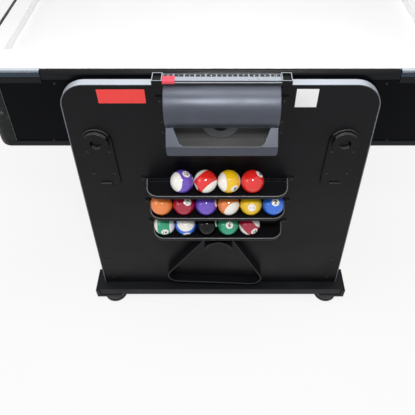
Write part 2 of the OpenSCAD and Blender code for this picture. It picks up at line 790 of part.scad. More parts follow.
// Aprons: the corners' rounding is shared by side and end boards
module side_aprons() color([0.1, 0.1, 0.11]) mirrored_x() intersection() {
  body_block(0, 2 * axis_z - field_z, field_z);
  block([inner_x, -inner_y, 0], [apron_x + past, inner_y, top_z]);
}
module end_aprons() color([0.1, 0.1, 0.11]) for (a = [0, 180]) rotate([0, 0, a]) difference() {
  intersection() {
    body_block(0, 2 * axis_z - field_z, field_z);
    block([-apron_x - past, -apron_y - past, 0], [apron_x + past, -inner_y, top_z]);
  }
  translate([0, -apron_y, axis_z]) peg(axle_r + plug, -past, apron_t + 2 * past);
  block([hood_dx - slot_x, -apron_y - past, slot_z], [hood_dx + slot_x, past - inner_y, slot_top]);
  socket = lock_pin_r + lock_room;
  for (x = [-lock_x, lock_x], z = [-lock_drop, lock_drop]) translate([x, -apron_y, axis_z + z])
    block([-socket, -past, -socket], [socket, apron_t + past, socket]);
}

// Moulding section: its outer face at x = 0, its outer upper edge rounded
module moulding_section() {
  translate([0, field_z]) square([moulding_w, moulding_h - moulding_r]);
  translate([moulding_r, field_z]) square([moulding_w - moulding_r, moulding_h]);
  intersection() {
    translate([moulding_r, top_z - moulding_r]) circle(moulding_r);
    translate([0, field_z]) square([moulding_w, moulding_h]);
  }
}
// Four straight strips that stop this far short of the body's corners
module moulding_strips(short) for (a = [0, 180]) rotate([0, 0, a]) {
  translate([0, -apron_y - moulding_out, 0]) along_x(apron_x - short) moulding_section();
  rotate([0, 0, 90]) translate([0, -apron_x - moulding_out, 0])
    along_x(apron_y - short) moulding_section();
}
// A box round a corner, as long as a corner cap's arms
module corner_zone(low, high) block([apron_x - cap_l, apron_y - cap_l, low],
                                    [apron_x + corner_r, apron_y + corner_r, high]);
module edge_mouldings() color([0.13, 0.13, 0.14]) {
  moulding_strips(cap_l + plug);
  in_four_corners() intersection() {
    corner_zone(skirt_z, skirt_z + skirt_h);
    difference() {
      body_block(moulding_out + cap_out, skirt_z, skirt_z + skirt_h);
      body_block(-rail_start, field_z, top_z);
      body_block(0, 0, field_z);
    }
  }
  // On the pool side the moulding goes round the corners
  to_pool_side() {
    moulding_strips(corner_r + plug);
    in_four_corners() translate([apron_x - corner_r, apron_y - corner_r, 0])
      rotate_extrude(angle = 90) translate([corner_r + moulding_out, 0]) mirror([1, 0])
        moulding_section();
  }
}

// Silver corner caps, their outer upper edge stepped back twice as a rounding
module corner_caps() color([0.75, 0.78, 0.82]) in_four_corners() intersection() {
  out = moulding_out + cap_out;
  high = top_z + cap_out;
  corner_zone(top_z - cap_h, high + past);
  difference() {
    union() {
      body_block(out, top_z - cap_h + cap_out, high - cap_r);
      body_block(out - cap_r / 3, high - cap_r, high - cap_r / 3);
      body_block(out - cap_r, high - cap_r / 3, high);
    }
    body_block(-rail_start, 0, high + past);
  }
}

// Plates round the body's upright corners, their inner edges raked on the end aprons
module corner_plates() color([0.3, 0.33, 0.32]) in_four_corners() {
  low = 2 * axis_z - field_z;
  high = skirt_z;
  intersection() {
    difference() {
      body_block(plate_t, low, high);
      body_block(0, low - past, high + past);
    }
    upright(apron_y - plate_w, plate_w + plate_t + past)
      polygon([[apron_x - plate_w, low], [apron_x + plate_t + past, low],
               [apron_x + plate_t + past, high], [apron_x - plate_w - plate_rake, high]]);
  }
}

// Field board with a drop hole under each goal
module hockey_field() color([0.93, 0.94, 0.95]) difference() {
  block([-inner_x, -inner_y, field_under], [inner_x, inner_y, field_z]);
  for (a = [0, 180]) rotate([0, 0, a])
    block([-goal_w / 2, -inner_y - past, field_under - past],
          [goal_w / 2, drop_d - inner_y, field_z + past]);
}

// Rails on the field: wide ones over the goals, narrow ones along the sides
module hockey_rails() color([0.93, 0.94, 0.95]) {
  edge_x = apron_x - rail_start;
  edge_y = apron_y - rail_start;
  for (a = [0, 180]) rotate([0, 0, a]) {
    difference() {
      intersection() {
        body_block(-rail_start, field_z, top_z);
        block([-edge_x, -edge_y, field_z], [edge_x, goal_rail_w - edge_y, top_z]);
      }
      block([-goal_w / 2, -inner_y, field_z - past],
            [goal_w / 2, goal_rail_w - edge_y + past, field_z + goal_h]);
    }
    side_y = edge_y - goal_rail_w - plug;
    block([edge_x - side_rail_w, -side_y, field_z], [edge_x, side_y, top_z]);
  }
}

// Joists carry the hockey field on the pool bed
module field_joists() color([0.6, 0.5, 0.38])
  for (s = [-1, 1], y = [joist_inner_y, joist_outer_y])
    block([-inner_x, s * y - joist_t / 2, bed_back], [inner_x, s * y + joist_t / 2, field_under]);

// Pockets: four at the corners and two at the sides
module at_pockets() {
  in_four_corners() translate(corner_pocket) children();
  mirrored_x() translate(side_pocket) children();
}

module pool_bed() color([0.5, 0.42, 0.32]) difference() {
  block([-inner_x, -inner_y, bed_z], [inner_x, inner_y, bed_back]);
  at_pockets() translate([0, 0, bed_z - past]) cylinder(r = pocket_r, h = bed_t + 2 * past);
}
module pool_cloth() color([0.05, 0.35, 0.2]) difference() {
  block([-cushion_x, -cushion_y, cloth_z], [cushion_x, cushion_y, bed_z]);
  at_pockets() translate([0, 0, cloth_z - past]) cylinder(r = pocket_r, h = cloth_t + 2 * past);
}

module pocket_cut() at_pockets() translate([0, 0, pool_top - past])
  cylinder(r = pocket_r, h = bed_z - pool_top + 2 * past);
// Rails round the pool bed, stepped over the apron's edge and cut out at the pockets
module pool_rails() color([0.1, 0.1, 0.11]) for (a = [0, 180]) rotate([0, 0, a]) {
  step_z = 2 * axis_z - field_z;
  edge_x = apron_x - rail_start;
  edge_y = apron_y - rail_start;
  side_y = cushion_y - plug;
  difference() {
    intersection() {
      body_block(-rail_start, pool_top, bed_z);
      union() {
        block([-edge_x, -edge_y, pool_top], [edge_x, -cushion_y, step_z]);
        block([-inner_x, -inner_y, step_z - past], [inner_x, -cushion_y, bed_z]);
      }
    }
    pocket_cut();
  }
  difference() {
    union() {
      block([cushion_x, -side_y, pool_top], [edge_x, side_y, step_z]);
      block([cushion_x, -side_y, step_z - past], [inner_x, side_y, bed_z]);
    }
    pocket_cut();
  }
}

// Cushion section: flat back on the rail, nose at its own height above the cloth
module cushion_profile() {
  nose_z = cloth_z - nose_h;
  polygon([[0, pool_top + cushion_step], [cushion_w, nose_z - nose_t / 2],
           [cushion_w, nose_z + nose_t / 2], [0, cloth_z - cushion_foot]]);
}
// One cushion along X from x0 to x1 at its nose, its back at y = 0 and its ends cut at their own angles
module cushion(x0, x1, cut0, cut1) intersection() {
  translate([x0 - 2 * cushion_w, 0, 0]) rotate([90, 0, 90]) linear_extrude(x1 - x0 + 4 * cushion_w)
    cushion_profile();
  translate([0, 0, pool_top]) linear_extrude(pool_rail_h)
    polygon([[x0 - cushion_w / tan(cut0), 0], [x1 + cushion_w / tan(cut1), 0],
             [x1, cushion_w], [x0, cushion_w]]);
}
module cushions() color([0.05, 0.33, 0.19]) for (a = [0, 180]) rotate([0, 0, a]) {
  end_half = nose_x - mouth_leg;
  translate([0, -cushion_y, 0]) cushion(-end_half, end_half, corner_cut, corner_cut);
  for (m = [0, 1]) mirror([0, m, 0]) translate([-cushion_x, 0, 0]) rotate([0, 0, -90])
    cushion(side_mouth / 2, nose_y - mouth_leg, side_cut, corner_cut);
}

module pocket_cups() color([0.08, 0.08, 0.08]) intersection() {
  at_pockets() difference() {
    union() {
      translate([0, 0, bed_back]) cylinder(r = pocket_r + cup_t, h = cup_d);
      translate([0, 0, bed_back]) cylinder(r = pocket_r + cup_t + cup_flange_w, h = cup_t);
    }
    translate([0, 0, bed_back - past]) cylinder(r = pocket_r, h = cup_d - cup_t + past);
  }
  block([-inner_x, -inner_y, bed_back], [inner_x, inner_y, field_under]);
}

// Chute under a goal: a floor that slopes and narrows to the apron's slot, with a back and cheeks
module puck_chutes() color([0.12, 0.12, 0.12]) for (a = [0, 180]) rotate([0, 0, a]) {
  back = drop_d - inner_y;
  wide = goal_w / 2;
  left = hood_dx - slot_x;
  right = hood_dx + slot_x;
  intersection() {
    translate([-wide, 0, 0]) rotate([90, 0, 90]) linear_extrude(2 * wide)
      polygon([[-inner_y, slot_z], [back, slot_z + chute_fall],
               [back, slot_z + chute_fall - chute_t], [-inner_y, slot_z - chute_t]]);
    translate([0, 0, slot_z - chute_t]) linear_extrude(slot_h)
      polygon([[-wide, back], [left, -inner_y], [right, -inner_y], [wide, back]]);
  }
  block([-wide, back, slot_z + chute_fall - chute_t], [wide, back + chute_t, field_under]);
  translate([0, 0, slot_z - chute_t]) linear_extrude(field_under - slot_z + chute_t) {
    polygon([[-wide, back], [left, -inner_y], [left - chute_t, -inner_y],
             [-wide - chute_t, back], [-wide - chute_t, back + chute_t], [-wide, back + chute_t]]);
    polygon([[wide, back], [right, -inner_y], [right + chute_t, -inner_y],
             [wide + chute_t, back], [wide + chute_t, back + chute_t], [wide, back + chute_t]]);
  }
}

front_panel();
rear_panel();
panel_edge_bands();
base_beams();
base_end_caps();
foot_front_left();
foot_front_right();
foot_rear_left();
foot_rear_right();
side_gussets();
stretchers();
stretcher_bolts();
front_hood();
rear_hood();
scorer_rails();
scorer_end_blocks();
front_score_slider();
rear_score_slider();
lock_plates();
lock_pin_front_left();
lock_pin_front_right();
lock_pin_rear_left();
lock_pin_rear_right();
pivot_bearings();
panel_screws();
upper_ball_tray();
middle_ball_tray();
lower_ball_tray();
triangle_rack();
rack_hanger();
ball("01");  // ball_01
ball("02");  // ball_02
ball("03");  // ball_03
ball("04");  // ball_04
ball("05");  // ball_05
ball("06");  // ball_06
ball("07");  // ball_07
ball("08");  // ball_08
ball("09");  // ball_09
ball("10");  // ball_10
ball("11");  // ball_11
ball("12");  // ball_12
ball("13");  // ball_13
ball("14");  // ball_14
ball("15");  // ball_15
side_aprons();
end_aprons();
edge_mouldings();
corner_caps();
corner_plates();
hockey_field();
hockey_rails();
field_joists();
pool_bed();
pool_cloth();
cushions();
pool_rails();
pocket_cups();
pivot_axles();
puck_chutes();
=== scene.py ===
"""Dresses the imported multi-game table: rounded edges, finishes, numbered balls and a plain studio."""

import json
import math

import bmesh
import bpy
import numpy as np
from bpy.props import FloatProperty, FloatVectorProperty, IntProperty, PointerProperty
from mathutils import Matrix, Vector

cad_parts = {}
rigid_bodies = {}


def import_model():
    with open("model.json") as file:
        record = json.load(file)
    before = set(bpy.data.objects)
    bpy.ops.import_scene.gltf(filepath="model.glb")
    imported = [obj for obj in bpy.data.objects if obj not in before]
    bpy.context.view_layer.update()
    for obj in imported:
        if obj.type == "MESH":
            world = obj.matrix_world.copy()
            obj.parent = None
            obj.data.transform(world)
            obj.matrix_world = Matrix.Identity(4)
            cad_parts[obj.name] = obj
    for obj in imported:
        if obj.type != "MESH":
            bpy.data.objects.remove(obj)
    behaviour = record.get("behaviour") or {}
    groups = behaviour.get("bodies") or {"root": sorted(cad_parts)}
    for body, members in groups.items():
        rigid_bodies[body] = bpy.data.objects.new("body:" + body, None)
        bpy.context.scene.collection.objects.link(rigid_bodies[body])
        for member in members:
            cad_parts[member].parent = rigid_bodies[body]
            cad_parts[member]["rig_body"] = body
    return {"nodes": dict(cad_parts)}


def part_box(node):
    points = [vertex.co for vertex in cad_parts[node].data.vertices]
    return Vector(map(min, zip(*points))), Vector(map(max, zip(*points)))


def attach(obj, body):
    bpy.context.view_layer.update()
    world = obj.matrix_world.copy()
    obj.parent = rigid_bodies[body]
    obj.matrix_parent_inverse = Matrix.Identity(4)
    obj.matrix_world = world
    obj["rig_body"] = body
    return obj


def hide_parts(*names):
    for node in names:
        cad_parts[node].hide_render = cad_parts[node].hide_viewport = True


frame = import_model()

bl_info = {
    "name": "Multi-game table",
    "version": (1, 0, 0),
    "blender": (4, 5, 0),
    "location": "View3D > Sidebar > Game table",
    "description": "Builds the looks of a multi-game table around its packed frame",
    "category": "Object",
}

MM = 0.001
NODES = frame["nodes"]
CORNERS = ("front_left", "front_right", "rear_left", "rear_right")
# A face looks along an axis when its normal's share of that axis is over this
FACING = 0.7
# Slack with which a face is told to lie at a given height or depth
SLACK = 0.1 * MM
# Stretch of a metal finish whose streaks run no way in particular
EVEN = (1, 1, 1)


def shade(*levels):
    """The linear colour of screen levels from 0 to 255: red, green and blue, or one for a grey."""
    values = np.array(levels * (3 // len(levels))) / 255
    linear = np.where(values > 0.04045, ((values + 0.055) / 1.055) ** 2.4, values / 12.92)
    return tuple(float(v) for v in linear)


def setting(name, description, default, kind=FloatProperty, **limits):
    """A value that a user may change."""
    return kind(name=name, description=description, default=default, **limits)


def length(name, description, millimetres):
    """A size, given in millimetres and held in metres."""
    return setting(name, description, millimetres * MM, min=0.0, unit="LENGTH")


def colour(name, description, *levels):
    """A colour, given in screen levels."""
    limits = {"min": 0.0, "max": 1.0, "size": 3, "subtype": "COLOR"}
    return setting(name, description, shade(*levels), FloatVectorProperty, **limits)


class GameTableSizes(bpy.types.PropertyGroup):
    """Sizes of the finish: edge roundings, printed rings, windows and the studio."""

    board_edge: length("Board edge", "Rounding of the laminated boards", 0.8)
    moulded_edge: length("Moulded edge", "Rounding of moulded plastic pieces", 1.2)
    rail_edge: length("Rail edge", "Rounding of the hockey rails", 2.5)
    metal_edge: length("Metal edge", "Rounding of metal pieces", 0.5)
    thin_edge: length("Thin edge", "Rounding of cloth, corner plates and score blocks", 0.3)
    score_edge: length("Score rail edge", "Rounding of the score rails", 0.2)
    cushion_edge: length("Cushion edge", "Rounding of the cushions", 1.5)
    hood_edge: length("Hood edge", "Rounding of a puck catcher's edges", 0.6)
    # Hood wall and hood lip pick the faces inside a catcher that take the painted light
    hood_wall: length("Hood wall", "Depth within which a catcher's back wall lies", 4)
    hood_lip: length("Hood lip", "Height below which upward faces belong to a catcher's floor", 40)
    hood_ear: length("Hood ear", "Width of the black ear beside a puck catcher", 19.8)
    number_ring: length("Number ring", "Radius of the white disc round a ball's number", 10)
    digit_height: length("Digit height", "Height of a digit on a ball", 10.5)
    digit_weight: setting(
        "Digit weight", "How much bolder the digits are than the plain font", 0.025, min=0.0, max=0.1
    )
    tray_draw: length("Tray taper", "How far each side of a tray draws in to its front", 6)
    tray_ear_over: length("Tray ear rise", "How far a tray's ears stand over its rim", 6)
    tray_corner: length("Tray corner", "Radius of a tray's front corners", 32)
    stripe_half: setting(
        "Stripe", "Half width of a stripe as a share of the ball's radius", 0.56, min=0.3, max=0.8
    )
    window_pitch: length("Window pitch", "Distance between a score keeper's number windows", 22.5)
    window_wide: length("Window width", "Width of the dark tile in a number window", 19.3)
    window_long: length("Window length", "Length of the dark tile across the rail", 9.3)
    window_back: length("Window rim", "From the rail's rear edge to a tile's middle", 6.25)
    window_deep: length("Window depth", "Depth of a number window", 0.8)
    window_count: setting("Windows", "Number windows of a score keeper", 11, IntProperty, min=1)
    knob_height: length("Knob height", "Height of a locking pin's knob", 6)
    camera_distance: length("Camera distance", "From the camera to the front panel", 825)
    camera_height: length("Camera height", "Height of the camera above the floor", 1387)
    camera_pitch: setting(
        "Camera pitch", "Angle of the camera below the horizon", math.radians(48.5), subtype="ANGLE"
    )
    camera_lens: setting("Lens", "Focal length in millimetres on a 36 mm sensor", 39.96)
    camera_shift: setting("Shift", "Sideways shift of the frame as a share of its width", -0.0313)


class GameTableColours(bpy.types.PropertyGroup):
    """Colours of the finishes."""

    board: colour("Board", "Black laminate of the panels", 15, 14, 17)
    apron: colour("Apron", "Black laminate of the aprons", 6, 7, 10)
    base: colour("Base", "Textured black of the base beams", 27, 28, 32)
    plastic: colour("Plastic", "Black moulded plastic", 12, 12, 14)
    tray: colour("Tray", "Black moulded ball trays", 22, 22, 25)
    # Tray rim: a pale grey on the upward faces of the rolled rims, a painted highlight on the black trays
    rim: colour("Tray rim", "Rolled rims of the ball trays", 118)
    rack: colour("Triangle", "Black moulded triangle and hanger", 15, 16, 20)
    pewter: colour("Pewter", "Moulded hood", 68, 72, 83)
    # Hood back: a paler grey on a catcher's back wall and floor, painted light standing in for the light
    # that falls through its window
    hood_back: colour("Hood back", "Back wall and floor of a puck catcher", 98)
    # Lock edge: a painted highlight, given to the upward faces of the lock plates
    lock_edge: colour("Lock edge", "Worn upper edges of the lock plates", 74)
    silver: colour("Silver", "Tops of the corner caps", 206, 214, 224)
    # Smoked silver: a dark blue-grey on the caps' fronts, painted shade and reflection of the silver caps
    smoke: colour("Smoked silver", "Fronts of the corner caps", 40, 54, 66)
    band: colour("Edge band", "Silver edge bands of the panels", 204, 210, 220)
    # Band front: a darker grey on the outward faces of the edge bands, painted shade
    band_front: colour("Band front", "Front edges of the edge bands", 104, 109, 118)
    moulding: colour("Moulding", "Edge mouldings of the playing body", 9, 11, 15)
    score: colour("Score rail", "Silver of the score rails", 176, 184, 194)
    steel: colour("Steel", "Bearings, pins and bolts", 176, 179, 184)
    plate: colour("Corner plate", "Grey-green corner plates", 17, 20, 19)
    # Plate edge: a pale grey on the raked edge faces of the corner plates, a painted highlight; the strokes
    # of scuffing across it are wear
    plate_edge: colour("Plate edge", "Bare raked edges of the corner plates", 168, 176, 174)
    foot: colour("Foot", "Levelling feet", 34)
    field: colour("Field", "White hockey field and rails", 243)
    cloth: colour("Cloth", "Pool cloth", 18, 104, 66)
    wood: colour("Wood", "Joists and bed board", 176, 148, 112)
    slider: colour("Slider", "Score slider", 238, 78, 98)
    label: colour("Label", "Bare red sticker", 238, 66, 62)
    ivory: colour("Ivory", "White of the striped balls", 252, 249, 242)


# Colours of the pool balls, by the name in their material slot
BALL_COLOURS = {
    "yellow": shade(250, 202, 24),
    "blue": shade(46, 116, 230),
    "red": shade(238, 42, 36),
    "purple": shade(112, 80, 200),
    "orange": shade(250, 140, 66),
    "green": shade(34, 164, 122),
    "maroon": shade(176, 16, 56),
    "black": shade(6, 7, 6),
}
# Each ball: colour, where its number points and where its stripe's axis points (None for a solid
# ball), both as seen in the photograph, right and up as shares of the radius, and the digits' turn
BALL_LOOKS = {
    "01": ("yellow", (0.10, -0.34), None, 90),
    "02": ("blue", (0.22, 0.17), None, -8),
    "03": ("red", (0.62, 0.64), None, -35),
    "04": ("purple", (0.93, 0.10), None, 20),
    "05": ("orange", (0.10, 0.93), None, 0),
    "06": ("green", (0.13, -0.05), None, 0),
    "07": ("maroon", (0.34, 0.20), None, -10),
    "08": ("black", (0.93, 0.12), None, 0),
    "09": ("yellow", (0.50, -0.64), (-0.91, -0.10), 12),
    "10": ("blue", (0.10, -0.94), (0.00, 0.27), 0),
    "11": ("red", (-0.86, -0.46), (0.62, -0.76), 0),
    "12": ("purple", (0.38, 0.64), (-0.81, -0.08), -15),
    "13": ("orange", (-0.10, 0.90), (0.55, -0.69), 0),
    "14": ("green", (0.05, -0.74), (0.99, 0.02), 0),
    "15": ("maroon", (0.50, -0.66), (0.74, 0.64), 30),
}


def rgba(value):
    """A colour with its alpha, or a pattern's socket as it is."""
    return value if isinstance(value, bpy.types.NodeSocket) else (*value, 1.0)


class Nodes:
    """A node tree in the making."""

    def __init__(self, tree):
        self.tree = tree

    def feed(self, socket, value):
        """Sets a socket to a constant, or links another node's output to it."""
        if isinstance(value, bpy.types.NodeSocket):
            self.tree.links.new(value, socket)
        else:
            socket.default_value = value

    def add(self, kind, inputs=None, **settings):
        """Adds a node; each input is a constant or another node's output."""
        node = self.tree.nodes.new(kind)
        for key, value in settings.items():
            setattr(node, key, value)
        for key, value in (inputs or {}).items():
            self.feed(node.inputs[key], value)
        return node

    def math(self, operation, a, b=0.0):
        """One Math node."""
        return self.add("ShaderNodeMath", {0: a, 1: b}, operation=operation).outputs[0]

    def ramp(self, value, low, high, to_low=0.0, to_high=1.0):
        """Value from low to high, carried to to_low to to_high and held there beyond."""
        inputs = {"Value": value, "From Min": low, "From Max": high, "To Min": to_low, "To Max": to_high}
        return self.add("ShaderNodeMapRange", inputs).outputs[0]

    def seen(self):
        """1 for rays from the camera, off gloss and through glass, and 0 for plain light."""
        path = self.add("ShaderNodeLightPath").outputs
        either = self.math("MAXIMUM", path["Is Camera Ray"], path["Is Glossy Ray"])
        return self.math("MAXIMUM", either, path["Is Transmission Ray"])


class Look(Nodes):
    """A material in the making: constants on the shader's sockets, patterns as linked nodes."""

    def __init__(self, name, rough, specular=0.5, metallic=0.0, coat=0.0):
        self.material = bpy.data.materials.new(name)
        self.material.use_nodes = True
        super().__init__(self.material.node_tree)
        self.shader = self.tree.nodes["Principled BSDF"]
        self.set("Roughness", rough)
        self.set("Specular IOR Level", specular)
        self.set("Metallic", metallic)
        self.set("Coat Weight", coat)
        self.coords = self.add("ShaderNodeTexCoord").outputs["Object"]

    def set(self, key, value):
        """Feeds one of the shader's sockets."""
        self.feed(self.shader.inputs[key], value)

    def mapped(self, scale, move=(0, 0, 0), turn=(0, 0, 0)):
        """Object coordinates, moved, turned and scaled by a Mapping node."""
        inputs = {"Vector": self.coords, "Scale": scale, "Location": move, "Rotation": turn}
        return self.add("ShaderNodeMapping", inputs).outputs[0]

    def noise(self, scale, detail, vector=None, rough=0.5):
        """Noise from 0 to 1, scale features a metre."""
        inputs = {"Vector": vector or self.coords, "Scale": scale, "Detail": detail, "Roughness": rough}
        return self.add("ShaderNodeTexNoise", inputs).outputs[0]

    def mix(self, factor, a, b):
        """Colour a where factor is 0 and b where it is 1."""
        return self.add("ShaderNodeMix", {0: factor, 6: rgba(a), 7: rgba(b)}, data_type="RGBA").outputs[2]

    def paint(self, value):
        """Sets the base colour to a colour or a linked pattern."""
        self.set("Base Color", rgba(value))

    def mottle(self, value, share, scale):
        """Base colour that wanders by a share either way."""
        dark = [v * (1 - share) for v in value]
        light = [min(1.0, v * (1 + share)) for v in value]
        return self.mix(self.ramp(self.noise(scale, 4.0), 0.3, 0.7), dark, light)

    def roughness(self, low, high, scale):
        """Roughness that wanders between low and high."""
        self.set("Roughness", self.ramp(self.noise(scale, 5.0), 0.32, 0.68, low, high))

    def relief(self, height, depth, strength):
        """Bump of a height pattern from 0 to 1, depth millimetres deep."""
        inputs = {"Height": height, "Distance": depth * MM, "Strength": strength}
        self.set("Normal", self.add("ShaderNodeBump", inputs).outputs[0])


def laminate(name, value, rough=0.42, specular=0.14):
    """Black laminated board: a fine grain, faint smudges and a few pale specks of dust."""
    look = Look(name, rough, specular)
    specks = look.ramp(look.noise(420.0, 1.0), 0.80, 0.83)
    pale = [min(1.0, v * 5 + 0.06) for v in value]
    look.paint(look.mix(specks, look.mottle(value, 0.16, 9.0), pale))
    look.roughness(rough - 0.07, rough + 0.1, 7.0)
    look.relief(look.noise(1500.0, 2.0), 0.05, 0.5)
    return look.material


def moulded(name, value, rough=0.4, specular=0.16, pebble=900.0, depth=0.08, share=0.08, metallic=0.0):
    """Moulded plastic: a pebbled skin, a slight wander of colour and of gloss."""
    look = Look(name, rough, specular, metallic)
    look.paint(look.mottle(value, share, 14.0))
    look.roughness(rough - 0.06, rough + 0.08, 11.0)
    cells = look.add("ShaderNodeTexVoronoi", {"Vector": look.coords, "Scale": pebble}, feature="SMOOTH_F1")
    look.relief(cells.outputs["Distance"], depth, 0.6)
    return look.material


def brushed(name, value, rough=0.3, stretch=(0.02, 1.0, 1.0), scale=900.0, metallic=1.0):
    """Brushed or drawn metal: fine streaks along the stretched axis, with faint cloudy wear."""
    look = Look(name, rough, 0.5, metallic)
    streaks = look.noise(scale, 3.0, look.mapped(stretch))
    clouds = look.ramp(look.noise(12.0, 5.0), 0.35, 0.65)
    look.paint(look.mix(look.math("MULTIPLY", streaks, clouds), value, [v * 0.88 for v in value]))
    look.roughness(rough - 0.06, rough + 0.12, 20.0)
    look.relief(streaks, 0.03, 0.4)
    return look.material


def worn_metal(name, value, scuff, rough=0.45):
    """Painted metal plate with pale scuffs that run in short strokes."""
    look = Look(name, rough, 0.2, 0.05)
    strokes = look.noise(70.0, 6.0, look.mapped((1.0, 1.0, 0.35)), 0.75)
    look.paint(look.mix(look.ramp(strokes, 0.60, 0.72), look.mottle(value, 0.14, 20.0), scuff))
    look.roughness(rough - 0.12, rough + 0.12, 25.0)
    look.relief(look.noise(600.0, 3.0), 0.06, 0.5)
    return look.material


def lacquer(name, value):
    """Smooth white lacquered board with the slightest orange peel."""
    look = Look(name, 0.22, 0.4)
    look.paint(look.mottle(value, 0.012, 6.0))
    look.roughness(0.17, 0.28, 8.0)
    look.relief(look.noise(160.0, 1.0), 0.03, 0.3)
    return look.material


def rink(name, value):
    """Hockey field: white lacquer with a red middle line, circle and spot, and two blue lines."""
    look = Look(name, 0.32, 0.25)
    line_half, edge = 5 * MM, 0.6 * MM
    circle_radius, spot_radius, blue_line = 0.15, 14 * MM, 0.33
    parts = look.add("ShaderNodeSeparateXYZ", {0: look.coords}).outputs
    away = look.math("ABSOLUTE", parts["Y"])
    flat = look.add("ShaderNodeCombineXYZ", {"X": parts["X"], "Y": parts["Y"], "Z": 0.0}).outputs[0]
    radius = look.add("ShaderNodeVectorMath", {0: flat}, operation="LENGTH").outputs["Value"]

    def band(distance, middle):
        off = look.math("ABSOLUTE", look.math("SUBTRACT", distance, middle))
        return look.ramp(off, line_half, line_half + edge, 1.0, 0.0)

    lines = look.math("MAXIMUM", band(away, 0.0), band(radius, circle_radius))
    spot = look.ramp(radius, spot_radius, spot_radius + edge, 1.0, 0.0)
    red = look.math("MAXIMUM", lines, spot)
    base = look.mix(red, look.mottle(value, 0.012, 6.0), shade(206, 44, 48))
    look.paint(look.mix(band(away, blue_line), base, shade(38, 84, 190)))
    look.roughness(0.28, 0.38, 8.0)
    look.relief(look.noise(140.0, 1.0), 0.02, 0.3)
    return look.material


def timber(name, value, turn=(0, 0, 0)):
    """Plain softwood or board: long grain bands with fine pores."""
    look = Look(name, 0.62, 0.3)
    along = look.mapped((14.0, 1.0, 14.0), turn=turn)
    rings = look.ramp(look.noise(6.0, 6.0, along, 0.65), 0.35, 0.65)
    look.paint(look.mix(rings, value, [v * 0.62 for v in value]))
    look.relief(look.noise(90.0, 4.0, along), 0.15, 0.5)
    return look.material


def felt(name, value):
    """Napped pool cloth: fine fibres, a soft sheen and a faint wander of shade."""
    look = Look(name, 0.92, 0.2)
    look.set("Sheen Weight", 0.35)
    look.set("Sheen Roughness", 0.6)
    fibres = look.noise(1400.0, 4.0, look.mapped((1.0, 0.35, 1.0)))
    worn = look.ramp(fibres, 0.4, 0.75, 0.0, 0.5)
    look.paint(look.mix(worn, look.mottle(value, 0.1, 5.0), [v * 0.6 for v in value]))
    look.relief(fibres, 0.25, 0.6)
    return look.material


def print_ink(name, value, rough=0.35):
    """Printed ink or a bare sticker: a flat colour with a trace of uneven gloss and thickness."""
    look = Look(name, rough, 0.4)
    look.paint(look.mottle(value, 0.02, 60.0))
    look.roughness(rough - 0.05, rough + 0.1, 50.0)
    look.relief(look.noise(500.0, 2.0), 0.02, 0.3)
    return look.material


def ball_resin(name, value, gloss, centre, radius, number_to, stripe_to, sizes, ivory):
    """Polished resin: a coloured ball or stripe, and a white disc where the number stands.

    A point's direction from the ball's centre, dotted with the number's direction, gives the disc;
    dotted with the stripe's axis, it gives the white caps on both sides of the stripe.
    """
    look = Look(name, 0.07, gloss, coat=0.6 * gloss)
    look.set("Coat Roughness", 0.03)
    local = look.mapped((1 / radius,) * 3, [-c / radius for c in centre])
    soft = 0.01

    def along(direction):
        inputs = {0: local, 1: tuple(direction)}
        return look.add("ShaderNodeVectorMath", inputs, operation="DOT_PRODUCT").outputs["Value"]

    base = look.mottle(value, 0.05, 40.0)
    if stripe_to is not None:
        away = look.math("ABSOLUTE", along(stripe_to))
        base = look.mix(look.ramp(away, sizes.stripe_half, sizes.stripe_half + soft), base, ivory)
    rim = math.sqrt(1 - (sizes.number_ring / radius) ** 2)
    disc = look.ramp(along(number_to), rim - soft / 2, rim + soft / 2)
    look.paint(look.mix(disc, base, ivory))
    look.roughness(0.05, 0.1, 30.0)
    return look.material


def mesh_from_arrays(name, points, faces):
    """A mesh of an array of points and a list of index lists, doubles merged, normals outwards."""
    mesh = bpy.data.meshes.new(name)
    mesh.from_pydata(points.reshape(-1, 3).tolist(), [], faces)
    bm = bmesh.new()
    bm.from_mesh(mesh)
    bmesh.ops.remove_doubles(bm, verts=bm.verts, dist=1e-7)
    bmesh.ops.dissolve_degenerate(bm, edges=bm.edges, dist=1e-7)
    bmesh.ops.recalc_face_normals(bm, faces=bm.faces)
    bm.to_mesh(mesh)
    bm.free()
    return mesh


def field_of(items, field, width=3, kind=float):
    """One field of all a mesh's vertices, edges or faces, as an array with a row for each."""
    values = np.empty(len(items) * width, kind)
    items.foreach_get(field, values)
    return values.reshape(-1, width)


def grid_faces(rows, columns):
    """Quads of a grid, row by row; the last column joins the first."""
    i, j = np.meshgrid(np.arange(rows - 1), np.arange(columns), indexing="ij")
    k = (j + 1) % columns
    quads = np.stack([i * columns + j, i * columns + k, (i + 1) * columns + k, (i + 1) * columns + j], -1)
    return quads.reshape(-1, 4).tolist()


def closed_tube(rings):
    """Faces of a stack of closed rings (rows, columns, 3), with a flat face at each end."""
    rows, columns = rings.shape[:2]
    last = (rows - 1) * columns
    return grid_faces(rows, columns) + [list(range(columns)), list(range(last, last + columns))]


def joined(shells):
    """Points and faces of several (points, faces) shells in one list."""
    points, faces, start = [], [], 0
    for shell_points, shell_faces in shells:
        flat = np.asarray(shell_points).reshape(-1, 3)
        points.append(flat)
        faces += [[i + start for i in face] for face in shell_faces]
        start += len(flat)
    return np.concatenate(points), faces


